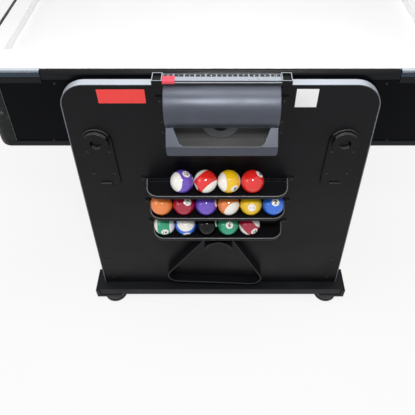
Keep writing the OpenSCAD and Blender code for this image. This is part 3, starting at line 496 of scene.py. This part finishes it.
def rounded_block(low, high, radius, steps):
    """A box with round edges: each point is a corner of the inner box plus radius times a direction.

    The direction runs over the sphere; its quadrant picks the corner of the box drawn in by radius.
    """
    low, high = np.array(low, float), np.array(high, float)
    middle, half = (low + high) / 2, (high - low) / 2 - radius
    quarter = np.linspace(0, math.pi / 2, steps + 1)
    turn = np.concatenate([quarter + k * math.pi / 2 for k in range(4)])[None, :]
    rise = np.concatenate([quarter - math.pi / 2, quarter])[:, None]
    sign_x = np.repeat([1, -1, -1, 1], steps + 1)
    sign_y = np.repeat([1, 1, -1, -1], steps + 1)
    sign_z = np.repeat([-1, 1], steps + 1)[:, None]
    x = middle[0] + sign_x * half[0] + radius * np.cos(rise) * np.cos(turn)
    y = middle[1] + sign_y * half[1] + radius * np.cos(rise) * np.sin(turn)
    z = middle[2] + sign_z * half[2] + radius * np.sin(rise) + 0 * turn
    rings = np.stack([x, y, z], -1)
    return rings, closed_tube(rings)


def lathe(profile, place, columns=48):
    """Profile points (radius, height) carried once round an upright axis at place."""
    profile = np.array(profile, float)
    turn = np.linspace(0, 2 * math.pi, columns, endpoint=False)[None, :]
    radius, height = profile[:, :1], profile[:, 1:]
    x = place[0] + radius * np.cos(turn)
    y = place[1] + radius * np.sin(turn)
    z = place[2] + height + 0 * turn
    rings = np.stack([x, y, z], -1)
    return rings, closed_tube(rings)


def linked(name, data):
    """A new object in the scene."""
    made = bpy.data.objects.new(name, data)
    bpy.context.scene.collection.objects.link(made)
    return made


def piece(name, shape, body, material, replaced=(), smooth=40.0):
    """A piece of the object, with its finish, its body and the nodes it stands for.

    Its shape is a mesh, or the points and faces of one. Edges under smooth degrees are shaded soft.
    """
    mesh = shape if isinstance(shape, bpy.types.Mesh) else mesh_from_arrays(name, *shape)
    mesh.materials.clear()
    mesh.materials.append(material)
    mesh.shade_smooth()
    mesh.set_sharp_from_angle(angle=math.radians(smooth))
    made = linked(name, mesh)
    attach(made, body)
    if replaced:
        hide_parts(*replaced)
    return made


def body_name(node):
    """The body that a CAD node belongs to."""
    return NODES[node]["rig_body"]


def softened(node, material, radius, segments=2):
    """A merged copy of a CAD node without its slivers, its sharp edges rounded by radius."""
    sharp, sliver = 32.0, 0.1 * MM
    bm = bmesh.new()
    bm.from_mesh(NODES[node].data)
    bmesh.ops.remove_doubles(bm, verts=bm.verts, dist=1e-6)
    bmesh.ops.dissolve_degenerate(bm, edges=bm.edges, dist=sliver)
    mesh = bpy.data.meshes.new(f"{node}_finished")
    bm.to_mesh(mesh)
    bm.free()
    if "custom_normal" in mesh.attributes:
        mesh.attributes.remove(mesh.attributes["custom_normal"])
    made = piece(f"{node}_finished", mesh, body_name(node), material, [node], sharp)
    rounding = made.modifiers.new("Rounded edges", "BEVEL")
    rounding.width = radius
    rounding.segments = segments
    rounding.limit_method = "ANGLE"
    rounding.angle_limit = math.radians(sharp)
    rounding.use_clamp_overlap = False
    rounding.harden_normals = True
    return made


def repainted(made, material, chosen):
    """Gives another finish to the faces that chosen(centres, normals) picks, each array (count, 3)."""
    faces = made.data.polygons
    made.data.materials.append(material)
    index = field_of(faces, "material_index", 1, np.int32).ravel()
    picked = chosen(field_of(faces, "center"), field_of(faces, "normal"))
    index[picked] = len(made.data.materials) - 1
    faces.foreach_set("material_index", index)


def facing_out(centres, normals):
    """Faces that look away from the table along its length."""
    return normals[:, 1] * np.sign(centres[:, 1]) > FACING


def kept(node, material):
    """Gives a CAD node that stays in view its finish."""
    if not NODES[node].material_slots:
        NODES[node].data.materials.append(material)
    for one in NODES[node].material_slots:
        one.link = "OBJECT"
        one.material = material


def solids_of(node):
    """Boxes of a CAD node's separate solids: lowest and highest corners, as two (count, 3) arrays.

    Every vertex takes the lowest label among those it shares a place or an edge with, over and over,
    until no label changes.
    """
    points = field_of(NODES[node].data.vertices, "co")
    edges = field_of(NODES[node].data.edges, "vertices", 2, int)
    _, same = np.unique(np.round(points, 6), axis=0, return_inverse=True)
    same = same.ravel()
    a, b = same[edges].T
    labels = np.arange(same.max() + 1)
    while True:
        lowest = np.minimum(labels[a], labels[b])
        before = labels.copy()
        np.minimum.at(labels, a, lowest)
        np.minimum.at(labels, b, lowest)
        labels = labels[labels]
        if np.array_equal(before, labels):
            break
    own = labels[same]
    groups = [points[own == g] for g in np.unique(own)]
    return np.array([g.min(0) for g in groups]), np.array([g.max(0) for g in groups])


def glyphs(text, height, thickness, weight=0.0):
    """A line of digits as a mesh in its own plane: points and faces, centred, the given height tall."""
    curve = bpy.data.curves.new("digits", "FONT")
    curve.body = text
    curve.extrude = thickness / height / 2
    curve.offset = weight
    curve.resolution_u = 3
    carrier = linked("digits", curve)
    bpy.context.view_layer.update()
    mesh = bpy.data.meshes.new_from_object(carrier.evaluated_get(bpy.context.evaluated_depsgraph_get()))
    points = field_of(mesh.vertices, "co")
    faces = [list(face.vertices) for face in mesh.polygons]
    bpy.data.objects.remove(carrier)
    bpy.data.curves.remove(curve)
    bpy.data.meshes.remove(mesh)
    low, high = points.min(0), points.max(0)
    return (points - (low + high) / 2) * height / (high[1] - low[1]), faces


def unit(vector):
    """A vector brought to length 1."""
    return vector / np.linalg.norm(vector)


def view_frame(place, eye):
    """Right, up and towards the eye, at a place, as unit vectors."""
    towards = unit(np.array(eye) - np.array(place))
    right = unit(np.array([1.0, 0, 0]) - towards[0] * towards)
    return right, np.cross(towards, right), towards


def pointing(shares, axes):
    """The direction that shows at (right, up) shares of the radius on a ball seen along the axes."""
    right, up, towards = axes
    depth = math.sqrt(max(0.0, 1 - shares[0] ** 2 - shares[1] ** 2))
    return shares[0] * right + shares[1] * up + depth * towards


def camera_place(sizes):
    """Where the camera stands: before the front panel, on the middle plane."""
    return (0.0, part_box("front_panel")[0].y - sizes.camera_distance, sizes.camera_height)


class Dressing(bpy.types.Operator):
    """What all the steps share."""

    bl_options = {"REGISTER", "UNDO"}

    def execute(self, context):
        self.build(context.scene.game_table_sizes, context.scene.game_table_colours)
        return {"FINISHED"}


class DressStage(Dressing):
    """Pale floor, soft studio light and the camera at the photograph's angle"""

    bl_idname = "gametable.stage"
    bl_label = "Studio"

    def build(self, sizes, colours):
        self.floor()
        self.world()
        self.lamps(sizes)
        self.camera(sizes)

    def floor(self):
        """A round floor whose colour is plain white to the camera and keeps the object's shadow."""
        radius, corners, plain = 9.0, 64, 0.85
        turn = np.linspace(0, 2 * math.pi, corners, endpoint=False)
        points = np.stack([radius * np.cos(turn), radius * np.sin(turn), 0 * turn], -1)
        mesh = bpy.data.meshes.new("floor")
        mesh.from_pydata(points.tolist(), [], [list(range(corners))])
        floor = linked("floor", mesh)
        look = Look("floor_white", 0.9, 0.0)
        look.paint(shade(250))
        glow = look.add("ShaderNodeEmission", {"Color": (1, 1, 1, 1), "Strength": 1.0})
        share = look.math("MULTIPLY", look.seen(), plain)
        blend = look.add("ShaderNodeMixShader", {0: share, 1: look.shader.outputs[0], 2: glow.outputs[0]})
        look.feed(look.tree.nodes["Material Output"].inputs["Surface"], blend.outputs[0])
        mesh.materials.append(look.material)

    def world(self):
        """White to the camera and in reflections, and a dimmer grey as light."""
        light = 0.42
        world = bpy.data.worlds.new("studio")
        bpy.context.scene.world = world
        world.use_nodes = True
        nodes = Nodes(world.node_tree)
        back = world.node_tree.nodes["Background"].inputs
        nodes.feed(back["Color"], (1, 1, 1, 1))
        nodes.feed(back["Strength"], nodes.ramp(nodes.seen(), 0.0, 1.0, light, 1.0))

    def lamps(self, sizes):
        """A small soft lamp by the camera, a larger one overhead and one at the left."""
        target = Vector((0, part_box("front_panel")[0].y, 0.55))
        eye = Vector(camera_place(sizes))
        # Each lamp: name, place, width in metres and power in watts
        rows = (
            ("lamp_front", eye + Vector((0.05, 0.1, 0.28)), 0.22, 8.5),
            ("lamp_overhead", Vector((0.1, -0.9, 3.0)), 1.0, 18.0),
            ("lamp_left", Vector((-2.6, -2.0, 2.0)), 1.4, 12.0),
        )
        for name, place, width, power in rows:
            lamp = bpy.data.lights.new(name, "AREA")
            lamp.shape = "DISK"
            lamp.size = width
            lamp.energy = power
            carrier = linked(name, lamp)
            carrier.location = place
            carrier.rotation_euler = (target - place).to_track_quat("-Z", "Y").to_euler()

    def camera(self, sizes):
        """Tilted down from before the front panel, its frame shifted sideways."""
        data = bpy.data.cameras.new("camera")
        data.sensor_width = 36.0
        data.lens = sizes.camera_lens
        data.shift_x = sizes.camera_shift
        data.clip_start = 0.05
        camera = linked("camera", data)
        camera.location = camera_place(sizes)
        camera.rotation_euler = (math.pi / 2 - sizes.camera_pitch, 0, 0)
        bpy.context.scene.camera = camera


class DressPedestals(Dressing):
    """End panels, edge bands, base beams, end caps, feet and the under-frame"""

    bl_idname = "gametable.pedestals"
    bl_label = "Pedestals"

    def build(self, sizes, colours):
        board = laminate("panel_laminate", colours.board)
        base = moulded("base_texture", colours.base, 0.5, 0.16, 500.0, 0.16, 0.12)
        silver = brushed("edge_band_silver", colours.band, 0.34, metallic=0.3)
        front = brushed("edge_band_painted_shade", colours.band_front, 0.34, metallic=0.3)
        for node in ("front_panel", "rear_panel"):
            softened(node, board, sizes.board_edge)
        bands = softened("panel_edge_bands", silver, sizes.metal_edge)
        # Outward faces of the bands take the darker grey: painted shade
        repainted(bands, front, facing_out)
        softened("base_beams", base, 3 * sizes.board_edge, 3)
        softened("base_end_caps", base, 2 * sizes.board_edge, 3)
        softened("stretchers", board, sizes.board_edge)
        softened("side_gussets", board, sizes.board_edge)
        softened("stretcher_bolts", brushed("bolt_steel", colours.steel), sizes.metal_edge)
        self.feet(moulded("foot_plastic", colours.foot, 0.32, 0.6, 700.0, 0.06))

    def feet(self, plastic):
        """Each foot: a rim with soft edges, a dome that is a quarter ellipse, and a neck with a stud."""
        neck, stud = 16 * MM, 5 * MM
        rim, dome, top = 9 * MM, 24 * MM, 41 * MM
        soft = 1.5 * MM
        rise = np.linspace(0, math.pi / 2, 12)
        for corner in CORNERS:
            node = f"foot_{corner}"
            low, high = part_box(node)
            radius = (high.x - low.x) / 2
            edge = [(radius - 2 * soft, 0), (radius - 0.6 * soft, 0.4 * soft), (radius, 1.6 * soft),
                    (radius, rim - soft), (radius - 0.5 * soft, rim - 0.2 * soft)]
            crown = np.stack([neck + (radius - 2 * soft - neck) * np.cos(rise),
                              rim + (dome - rim) * np.sin(rise)], -1)
            shaft = [(neck, top), (stud, top), (stud, high.z), (0, high.z)]
            profile = np.concatenate([[(0, 0)], edge, crown, shaft])
            place = ((low.x + high.x) / 2, (low.y + high.y) / 2, 0.0)
            piece(f"{node}_finished", lathe(profile, place), body_name(node), plastic, [node])


class DressHoods(Dressing):
    """Puck catchers, and the bearings that show in their windows"""

    bl_idname = "gametable.hoods"
    bl_label = "Puck catchers"

    def build(self, sizes, colours):
        pewter = moulded("hood_pewter", colours.pewter, 0.37, 0.6, 1000.0, 0.12, 0.1, 0.45)
        black = moulded("hood_ear_black", colours.plastic)
        inside = moulded("hood_inside_painted_light", colours.hood_back, 0.42, 0.3, 1300.0, 0.04)
        for node in ("front_hood", "rear_hood"):
            low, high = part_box(node)
            middle, side = (low.x + high.x) / 2, (high.x - low.x) / 2 - sizes.hood_ear
            wall = min(abs(low.y), abs(high.y)) + sizes.hood_wall
            lip = low.z + sizes.hood_lip
            hood = softened(node, pewter, sizes.hood_edge)
            # The back wall and the floor inside the window take the paler grey: painted light
            repainted(hood, inside, lambda centres, normals:
                      facing_out(centres, normals) & (np.abs(centres[:, 1]) < wall)
                      | (normals[:, 2] > FACING) & (centres[:, 2] < lip))
            repainted(hood, black, lambda centres, normals: np.abs(centres[:, 0] - middle) > side)
        steel = brushed("bearing_steel", colours.steel, 0.35, EVEN, 300.0)
        softened("pivot_bearings", steel, sizes.metal_edge)
        dull = brushed("axle_steel", shade(60), 0.4, EVEN, 300.0, 0.6)
        softened("pivot_axles", dull, sizes.metal_edge)


class DressScoreKeepers(Dressing):
    """Score rails, end blocks, sliders and the numbers in the windows"""

    bl_idname = "gametable.score_keepers"
    bl_label = "Score keepers"

    def build(self, sizes, colours):
        silver = brushed("score_rail_silver", colours.score, metallic=0.3)
        black = moulded("score_block_plastic", colours.plastic)
        red = moulded("slider_plastic", colours.slider, 0.3, 0.4, 900.0, 0.03)
        # Outward faces of the score rails take a dark grey: painted shade on the rails' fronts
        shaded = moulded("score_front_painted_shade", shade(44), 0.45)
        repainted(softened("scorer_rails", silver, sizes.score_edge), shaded, facing_out)
        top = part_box("scorer_end_blocks")[1].z - SLACK
        repainted(softened("scorer_end_blocks", black, sizes.thin_edge), silver,
                  lambda centres, normals: (normals[:, 2] > FACING) & (centres[:, 2] > top))
        for node in ("front_score_slider", "rear_score_slider"):
            softened(node, red, sizes.metal_edge, 3)
        self.windows(sizes)

    def windows(self, sizes):
        """Dark tiles in the windows with plain white digits, on both ends."""
        ink = print_ink("score_digit_white", shade(236))
        dark = print_ink("score_tile_black", shade(18), 0.3)
        tile_thick, tile_edge = 0.4 * MM, 0.15 * MM
        digit_height, digit_thick, digit_over = 5.4 * MM, 0.1 * MM, 0.05 * MM
        half = np.array([sizes.window_wide / 2, sizes.window_long / 2, 0])
        for low, high in zip(*solids_of("scorer_rails")):
            front = (low[1] + high[1]) < 0
            end, side = ("front", 1) if front else ("rear", -1)
            middle = (low[0] + high[0]) / 2
            row_y = (high[1] if front else low[1]) - side * sizes.window_back
            tiles, digits = [], []
            for i in range(sizes.window_count):
                x = middle + side * (i - (sizes.window_count - 1) / 2) * sizes.window_pitch
                place = np.array([x, row_y, high[2] - sizes.window_deep])
                corner = place + half + [0, 0, tile_thick]
                tiles.append(rounded_block(place - half, corner, tile_edge, 2))
                points, faces = glyphs(str(i), digit_height, digit_thick)
                digits.append((points * [side, side, 1] + place + [0, 0, tile_thick + digit_over], faces))
            piece(f"{end}_score_tiles", joined(tiles), "pedestals", dark)
            piece(f"{end}_score_digits", joined(digits), "pedestals", ink)


class DressLocks(Dressing):
    """Lock plates and their pins"""

    bl_idname = "gametable.locks"
    bl_label = "Locks"

    def build(self, sizes, colours):
        black = moulded("lock_plate_plastic", colours.board, 0.3, 0.14)
        steel = brushed("lock_pin_steel", colours.steel, 0.35, EVEN, 300.0)
        shine = moulded("lock_edge_painted_highlight", colours.lock_edge, 0.25, 0.4)
        upward = 0.55
        # Upward faces of the plates, the tops of the rings and the lower edges of the holes, take the paler
        # grey: a painted highlight
        repainted(softened("lock_plates", black, 0.5 * sizes.moulded_edge), shine,
                  lambda centres, normals: normals[:, 2] > upward)
        for corner in CORNERS:
            node = f"lock_pin_{corner}"
            low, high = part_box(node)
            knob = max(abs(low.y), abs(high.y)) - sizes.knob_height - SLACK
            repainted(softened(node, steel, sizes.metal_edge, 3), black,
                      lambda centres, normals: np.abs(centres[:, 1]) > knob)


class DressTrays(Dressing):
    """Ball trays with rolled rims, and their ears"""

    bl_idname = "gametable.trays"
    bl_label = "Ball trays"

    def build(self, sizes, colours):
        black = moulded("tray_plastic", colours.tray, 0.34, 0.1, 1000.0, 0.05)
        rim_painted_highlight = moulded("tray_rim_painted_highlight", colours.rim, 0.24, 0.5, 1000.0, 0.02)
        rim_deep, back_deep, upward = 1 * MM, 4 * MM, 0.4
        for level in ("upper", "middle", "lower"):
            node = f"{level}_ball_tray"
            low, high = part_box(node)
            shape = joined(self.shells(low, high, sizes))
            made = piece(f"{node}_finished", shape, body_name(node), black, [node])
            rim_z, back_y = high.z - sizes.tray_ear_over - rim_deep, high.y - back_deep
            # Upward faces along the rolled rim, short of the back, take the pale grey: a painted highlight
            repainted(made, rim_painted_highlight, lambda centres, normals:
                      (centres[:, 2] > rim_z) & (normals[:, 2] > upward) & (centres[:, 1] < back_y))

    def shells(self, low, high, sizes):
        """The pan and its two ears.

        The pan is a stack of outlines: each is the tray's plan drawn in by an offset, at a height,
        from the middle of the floor over the rim to the middle of the underside. The offsets and
        heights follow a round foot inside, the rolled rim and a round foot outside.
        """
        ear, ear_edge, ear_in = 14 * MM, 0.9 * MM, 1 * MM
        wall, fillet, curl = 2.5 * MM, 3 * MM, 0.25
        bead = wall / 2 + 0.3 * MM
        half = (high.x - low.x) / 2 - ear
        middle = (low.x + high.x) / 2
        depth, corner = high.y - low.y, sizes.tray_corner
        lean = math.atan2(sizes.tray_draw, depth)
        rim_z = high.z - sizes.tray_ear_over
        arc = np.linspace(lean, math.pi / 2, 12)
        turn = np.linspace(0, math.pi / 2, 6)
        roll = np.linspace(-curl, math.pi + curl, 12)
        inner_foot = (-wall - fillet + fillet * np.sin(turn), low.z + wall + fillet - fillet * np.cos(turn))
        rolled_rim = (-wall / 2 - bead * np.cos(roll), rim_z - bead + bead * np.sin(roll))
        outer_foot = (-fillet + fillet * np.cos(turn), low.z + fillet - fillet * np.sin(turn))
        section = np.column_stack([inner_foot, rolled_rim, outer_foot]).T

        def outline(offset):
            """The plan at an offset: sides that draw in, and round front corners that touch them."""
            r = corner + offset
            centre_x = half - math.tan(lean) * (depth - corner) - corner / math.cos(lean)
            centre_y = corner - depth
            back_x = half + offset / math.cos(lean) - math.tan(lean) * max(-offset, 0.0)
            back = min(offset, 0.0)
            right = np.stack([centre_x + r * np.cos(arc), centre_y - r * np.sin(arc)], -1)
            left = right[::-1] * [-1, 1]
            return np.concatenate([[(back_x, back)], right, left, [(-back_x, back)]])

        plans = [outline(offset) for offset in section[:, 0]]
        centre = np.tile([0.0, -depth / 2], (len(plans[0]), 1))
        plans = np.array([centre, *plans, centre])
        heights = np.array([low.z + wall, *section[:, 1], low.z])[:, None]
        x, y = plans[..., 0] + middle, plans[..., 1] + high.y
        rings = np.stack([x, y, heights + 0 * x], -1)
        shells = [(rings, grid_faces(*rings.shape[:2]))]
        for side in (-1, 1):
            near, far = middle + side * (half - ear_in), middle + side * (half + ear)
            shells.append(rounded_block((min(near, far), high.y - wall, high.z - ear),
                                        (max(near, far), high.y, high.z), ear_edge, 3))
        return shells


class DressBalls(Dressing):
    """Fifteen numbered balls of polished resin"""

    bl_idname = "gametable.balls"
    bl_label = "Balls"

    def build(self, sizes, colours):
        ink = print_ink("ball_number_black", shade(16), 0.12)
        gloss, black_gloss = 0.5, 0.18
        for number, (hue, number_at, stripe_at, spin) in BALL_LOOKS.items():
            node = f"ball_{number}"
            low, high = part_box(node)
            centre, radius = (low + high) / 2, (high.z - low.z) / 2
            axes = view_frame(centre, camera_place(sizes))
            number_to = pointing(number_at, axes)
            stripe_to = None if stripe_at is None else pointing(stripe_at, axes)
            resin = ball_resin(f"{node}_resin", BALL_COLOURS[hue], black_gloss if hue == "black" else gloss,
                               centre, radius, number_to, stripe_to, sizes, tuple(colours.ivory))
            ball = self.sphere(centre, radius)
            piece(f"{node}_{hue}", ball, body_name(node), resin, [node], 60.0)
            digits = self.digits(str(int(number)), centre, radius, number_to, axes, spin, sizes)
            piece(f"{node}_digits", digits, body_name(node), ink)

    def sphere(self, centre, radius):
        """Centre plus radius times (cos v cos u, cos v sin u, sin v), v from pole to pole."""
        rows, columns = 33, 64
        v = np.linspace(-math.pi / 2, math.pi / 2, rows)[:, None]
        u = np.linspace(0, 2 * math.pi, columns, endpoint=False)[None, :]
        outward = np.stack([np.cos(v) * np.cos(u), np.cos(v) * np.sin(u), np.sin(v) + 0 * u], -1)
        return np.array(centre) + radius * outward, grid_faces(rows, columns)

    def digits(self, text, centre, radius, number_to, axes, spin, sizes):
        """Digits laid on the ball: a point of the flat text goes to the sphere above it."""
        thick, over, two_digit_share = 0.1 * MM, 0.2 * MM, 0.82
        height = sizes.digit_height * (1.0 if len(text) == 1 else two_digit_share)
        points, faces = glyphs(text, height, thick, sizes.digit_weight)
        up = unit(axes[1] - (axes[1] @ number_to) * number_to)
        right = np.cross(up, number_to)
        turn = math.radians(spin)
        right, up = (math.cos(turn) * right + math.sin(turn) * up,
                     math.cos(turn) * up - math.sin(turn) * right)
        x, y, out = points[:, :1], points[:, 1:2], radius + over + points[:, 2:]
        rise = np.sqrt(out**2 - x**2 - y**2)
        return np.array(centre) + x * right + y * up + rise * number_to, faces


class DressTriangle(Dressing):
    """Triangle and its arched hanger"""

    bl_idname = "gametable.triangle"
    bl_label = "Triangle"

    def build(self, sizes, colours):
        black = moulded("triangle_plastic", colours.rack, 0.34, 0.2, 800.0, 0.05)
        for node in ("triangle_rack", "rack_hanger"):
            softened(node, black, sizes.moulded_edge, 3)


class DressBody(Dressing):
    """Aprons, edge mouldings, corner caps and corner plates"""

    bl_idname = "gametable.body"
    bl_label = "Playing body"

    def build(self, sizes, colours):
        board = laminate("apron_laminate", colours.apron, 0.38, 0.05)
        edge = moulded("moulding_plastic", colours.moulding, 0.3, 0.18, 900.0, 0.04)
        silver = moulded("corner_cap_silver", colours.silver, 0.28, 0.5, 1400.0, 0.03, 0.04, 0.5)
        smoke = moulded("corner_cap_painted_shade", colours.smoke, 0.3, 0.3, 1400.0, 0.03, 0.06)
        plate = worn_metal("corner_plate_grey", colours.plate, shade(150, 158, 152))
        # bare: the painted highlight of the raked edges
        bare = worn_metal("corner_plate_painted_highlight", colours.plate_edge, shade(210, 214, 212), 0.35)
        upward, inward = 0.35, 0.3
        for node in ("side_aprons", "end_aprons"):
            softened(node, board, sizes.board_edge)
        softened("edge_mouldings", edge, sizes.board_edge)
        # Faces that don't look up take the dark blue-grey: painted shade and reflection on the caps' fronts
        repainted(softened("corner_caps", silver, sizes.metal_edge), smoke,
                  lambda centres, normals: normals[:, 2] < upward)
        # Edge faces that look in towards the middle take the pale grey: a painted highlight along the raked
        # edge
        repainted(softened("corner_plates", plate, sizes.thin_edge), bare,
                  lambda centres, normals: normals[:, 0] * np.sign(centres[:, 0]) < -inward)


class DressHockeySide(Dressing):
    """White field and rails of the hockey side"""

    bl_idname = "gametable.hockey_side"
    bl_label = "Hockey side"

    def build(self, sizes, colours):
        softened("hockey_rails", lacquer("rail_white", colours.field), sizes.rail_edge, 4)
        softened("hockey_field", rink("field_white", colours.field), sizes.board_edge)


class DressPoolSide(Dressing):
    """Cloth, cushions, rails, pockets and the sights of the pool side"""

    bl_idname = "gametable.pool_side"
    bl_label = "Pool side"

    def build(self, sizes, colours):
        cloth = felt("pool_cloth_green", colours.cloth)
        rail = laminate("pool_rail_black", colours.board, 0.3, 0.4)
        cup = moulded("pocket_cup_plastic", colours.plastic, 0.5)
        softened("pool_cloth", cloth, sizes.thin_edge)
        softened("cushions", cloth, sizes.cushion_edge, 3)
        softened("pool_rails", rail, sizes.board_edge)
        softened("pocket_cups", cup, sizes.metal_edge)
        kept("pool_bed", timber("bed_board", colours.wood))
        self.sights(moulded("sight_pearl", colours.ivory, 0.2, 0.5, 900.0, 0.02))

    def sights(self, pearl):
        """Round sights let into the pool rails: domed discs at the usual eighths and quarters."""
        radius, deep, proud, edge = 5 * MM, 1 * MM, 0.4 * MM, 0.1 * MM
        low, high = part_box("pool_rails")
        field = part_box("cushions")[1]
        row_x, row_y = (field.x + high.x) / 2, (field.y + high.y) / 2
        along = [k * field.y / 4 for k in (-3, -2, -1, 1, 2, 3)]
        across = [k * field.x / 2 for k in (-1, 0, 1)]
        places = [(s * row_x, y) for s in (-1, 1) for y in along]
        places += [(x, s * row_y) for s in (-1, 1) for x in across]
        profile = [(0, deep), (radius, deep), (radius, -edge), (0.7 * radius, -proud), (0, -1.2 * proud)]
        discs = joined([lathe(profile, (x, y, low.z), 24) for x, y in places])
        piece("rail_sights", discs, "playing_body", pearl)


class DressInside(Dressing):
    """Joists and puck chutes between the playing boards"""

    bl_idname = "gametable.inside"
    bl_label = "Inside"

    def build(self, sizes, colours):
        kept("field_joists", timber("joist_wood", colours.wood, (0, 0, math.pi / 2)))
        kept("puck_chutes", moulded("chute_plastic", colours.plastic, 0.45))


class DressScrews(Dressing):
    """Cross-slot screws in place of the plain heads"""

    bl_idname = "gametable.screws"
    bl_label = "Screws"

    def build(self, sizes, colours):
        dark = brushed("screw_dark", shade(34), 0.45, EVEN, 400.0, 0.5)
        low, high = solids_of("panel_screws")
        radius, height = (high[0, 0] - low[0, 0]) / 2, high[0, 1] - low[0, 1]
        heads = []
        for start, end in zip(low, high):
            x, y, z = (start + end) / 2
            foot, out = (end[1], -1) if y < 0 else (start[1], 1)
            heads.append(self.head(x, foot, z, out, radius, height))
        piece("panel_screws_finished", joined(heads), "pedestals", dark, ["panel_screws"])
        self.apron_screws(dark)

    def apron_screws(self, dark):
        """Small heads near the ends of each end apron, in an upper and a lower row."""
        low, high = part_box("end_aprons")
        radius, height = 2.6 * MM, 1.2 * MM
        # Each row: how far from the table's middle and how high above the floor, in metres
        rows = ((0.359, 0.819), (0.402, 0.661))
        heads = [
            self.head(side * x, low.y if out < 0 else high.y, z, out, radius, height)
            for out in (-1, 1) for side in (-1, 1) for x, z in rows
        ]
        piece("apron_screws", joined(heads), "playing_body", dark)

    def head(self, x, y, z, out, radius, height):
        """A domed head: its height is h (1 - (r / R)^2 / 2), and less by the slot's depth in the cross."""
        slot_angle, slot_reach, slot_depth = math.radians(12), 0.53, 0.45
        step = math.radians(90)
        inside = np.radians([-14, -11, 11, 14, 30, 45, 60])
        turn = np.concatenate([inside + k * step for k in range(4)])[None, :]
        share = np.array([0, 0.15, 0.3, 0.5, 0.56, 0.75, 0.92, 1.0])[:, None]
        quarter = np.abs((turn + step / 2) % step - step / 2)
        in_cross = (quarter < slot_angle) & (share < slot_reach)
        rise = height * (1 - share**2 / 2) - slot_depth * height * in_cross
        px = x + radius * share * np.cos(turn)
        pz = z + radius * share * np.sin(turn)
        top = np.stack([px, y + out * rise, pz], -1)
        skirt = np.stack([px[-1:], np.full_like(px[-1:], y), pz[-1:]], -1)
        rings = np.concatenate([top, skirt])
        rows, columns = rings.shape[:2]
        last = (rows - 1) * columns
        return rings, grid_faces(rows, columns) + [list(range(last, last + columns))]


class DressStickers(Dressing):
    """Two bare stickers at the top of the front panel's face"""

    bl_idname = "gametable.stickers"
    bl_label = "Stickers"

    def build(self, sizes, colours):
        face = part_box("front_panel")[0].y
        thick, edge = 0.25 * MM, 0.1 * MM
        # Each sticker: name, slot, colour, and its left, bottom, right and top in millimetres
        rows = (
            ("sticker_red", "slider_red", colours.label, (-262, 793, -160, 828)),
            ("sticker_white", "field_white", shade(240), (160.5, 783, 207.5, 829)),
        )
        for name, slot, value, sides in rows:
            left, bottom, right, top = (side * MM for side in sides)
            block = rounded_block((left, face - thick, bottom), (right, face + thick, top), edge, 1)
            piece(name, block, "pedestals", print_ink(name, value, 0.4))


OPERATORS = (
    DressStage, DressPedestals, DressHoods, DressScoreKeepers, DressLocks, DressTrays, DressBalls,
    DressTriangle, DressBody, DressHockeySide, DressPoolSide, DressInside, DressScrews, DressStickers,
)


class GameTablePanel(bpy.types.Panel):
    """Lists the steps, sizes and colours in the 3D view's sidebar"""

    bl_idname = "VIEW3D_PT_game_table"
    bl_label = "Multi-game table"
    bl_space_type = "VIEW_3D"
    bl_region_type = "UI"
    bl_category = "Game table"

    def draw(self, context):
        for operator in OPERATORS:
            self.layout.operator(operator.bl_idname)
        for group in (context.scene.game_table_sizes, context.scene.game_table_colours):
            box = self.layout.box()
            for name in group.__annotations__:
                box.prop(group, name)


CLASSES = (GameTableSizes, GameTableColours, *OPERATORS, GameTablePanel)


def register():
    for one in CLASSES:
        bpy.utils.register_class(one)
    bpy.types.Scene.game_table_sizes = PointerProperty(type=GameTableSizes)
    bpy.types.Scene.game_table_colours = PointerProperty(type=GameTableColours)


def unregister():
    del bpy.types.Scene.game_table_colours
    del bpy.types.Scene.game_table_sizes
    for one in reversed(CLASSES):
        bpy.utils.unregister_class(one)


def main():
    """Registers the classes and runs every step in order."""
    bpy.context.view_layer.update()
    register()
    bpy.context.scene.view_settings.view_transform = "Standard"
    for operator in OPERATORS:
        group, step = operator.bl_idname.split(".")
        getattr(getattr(bpy.ops, group), step)()


if __name__ == "__main__":
    main()
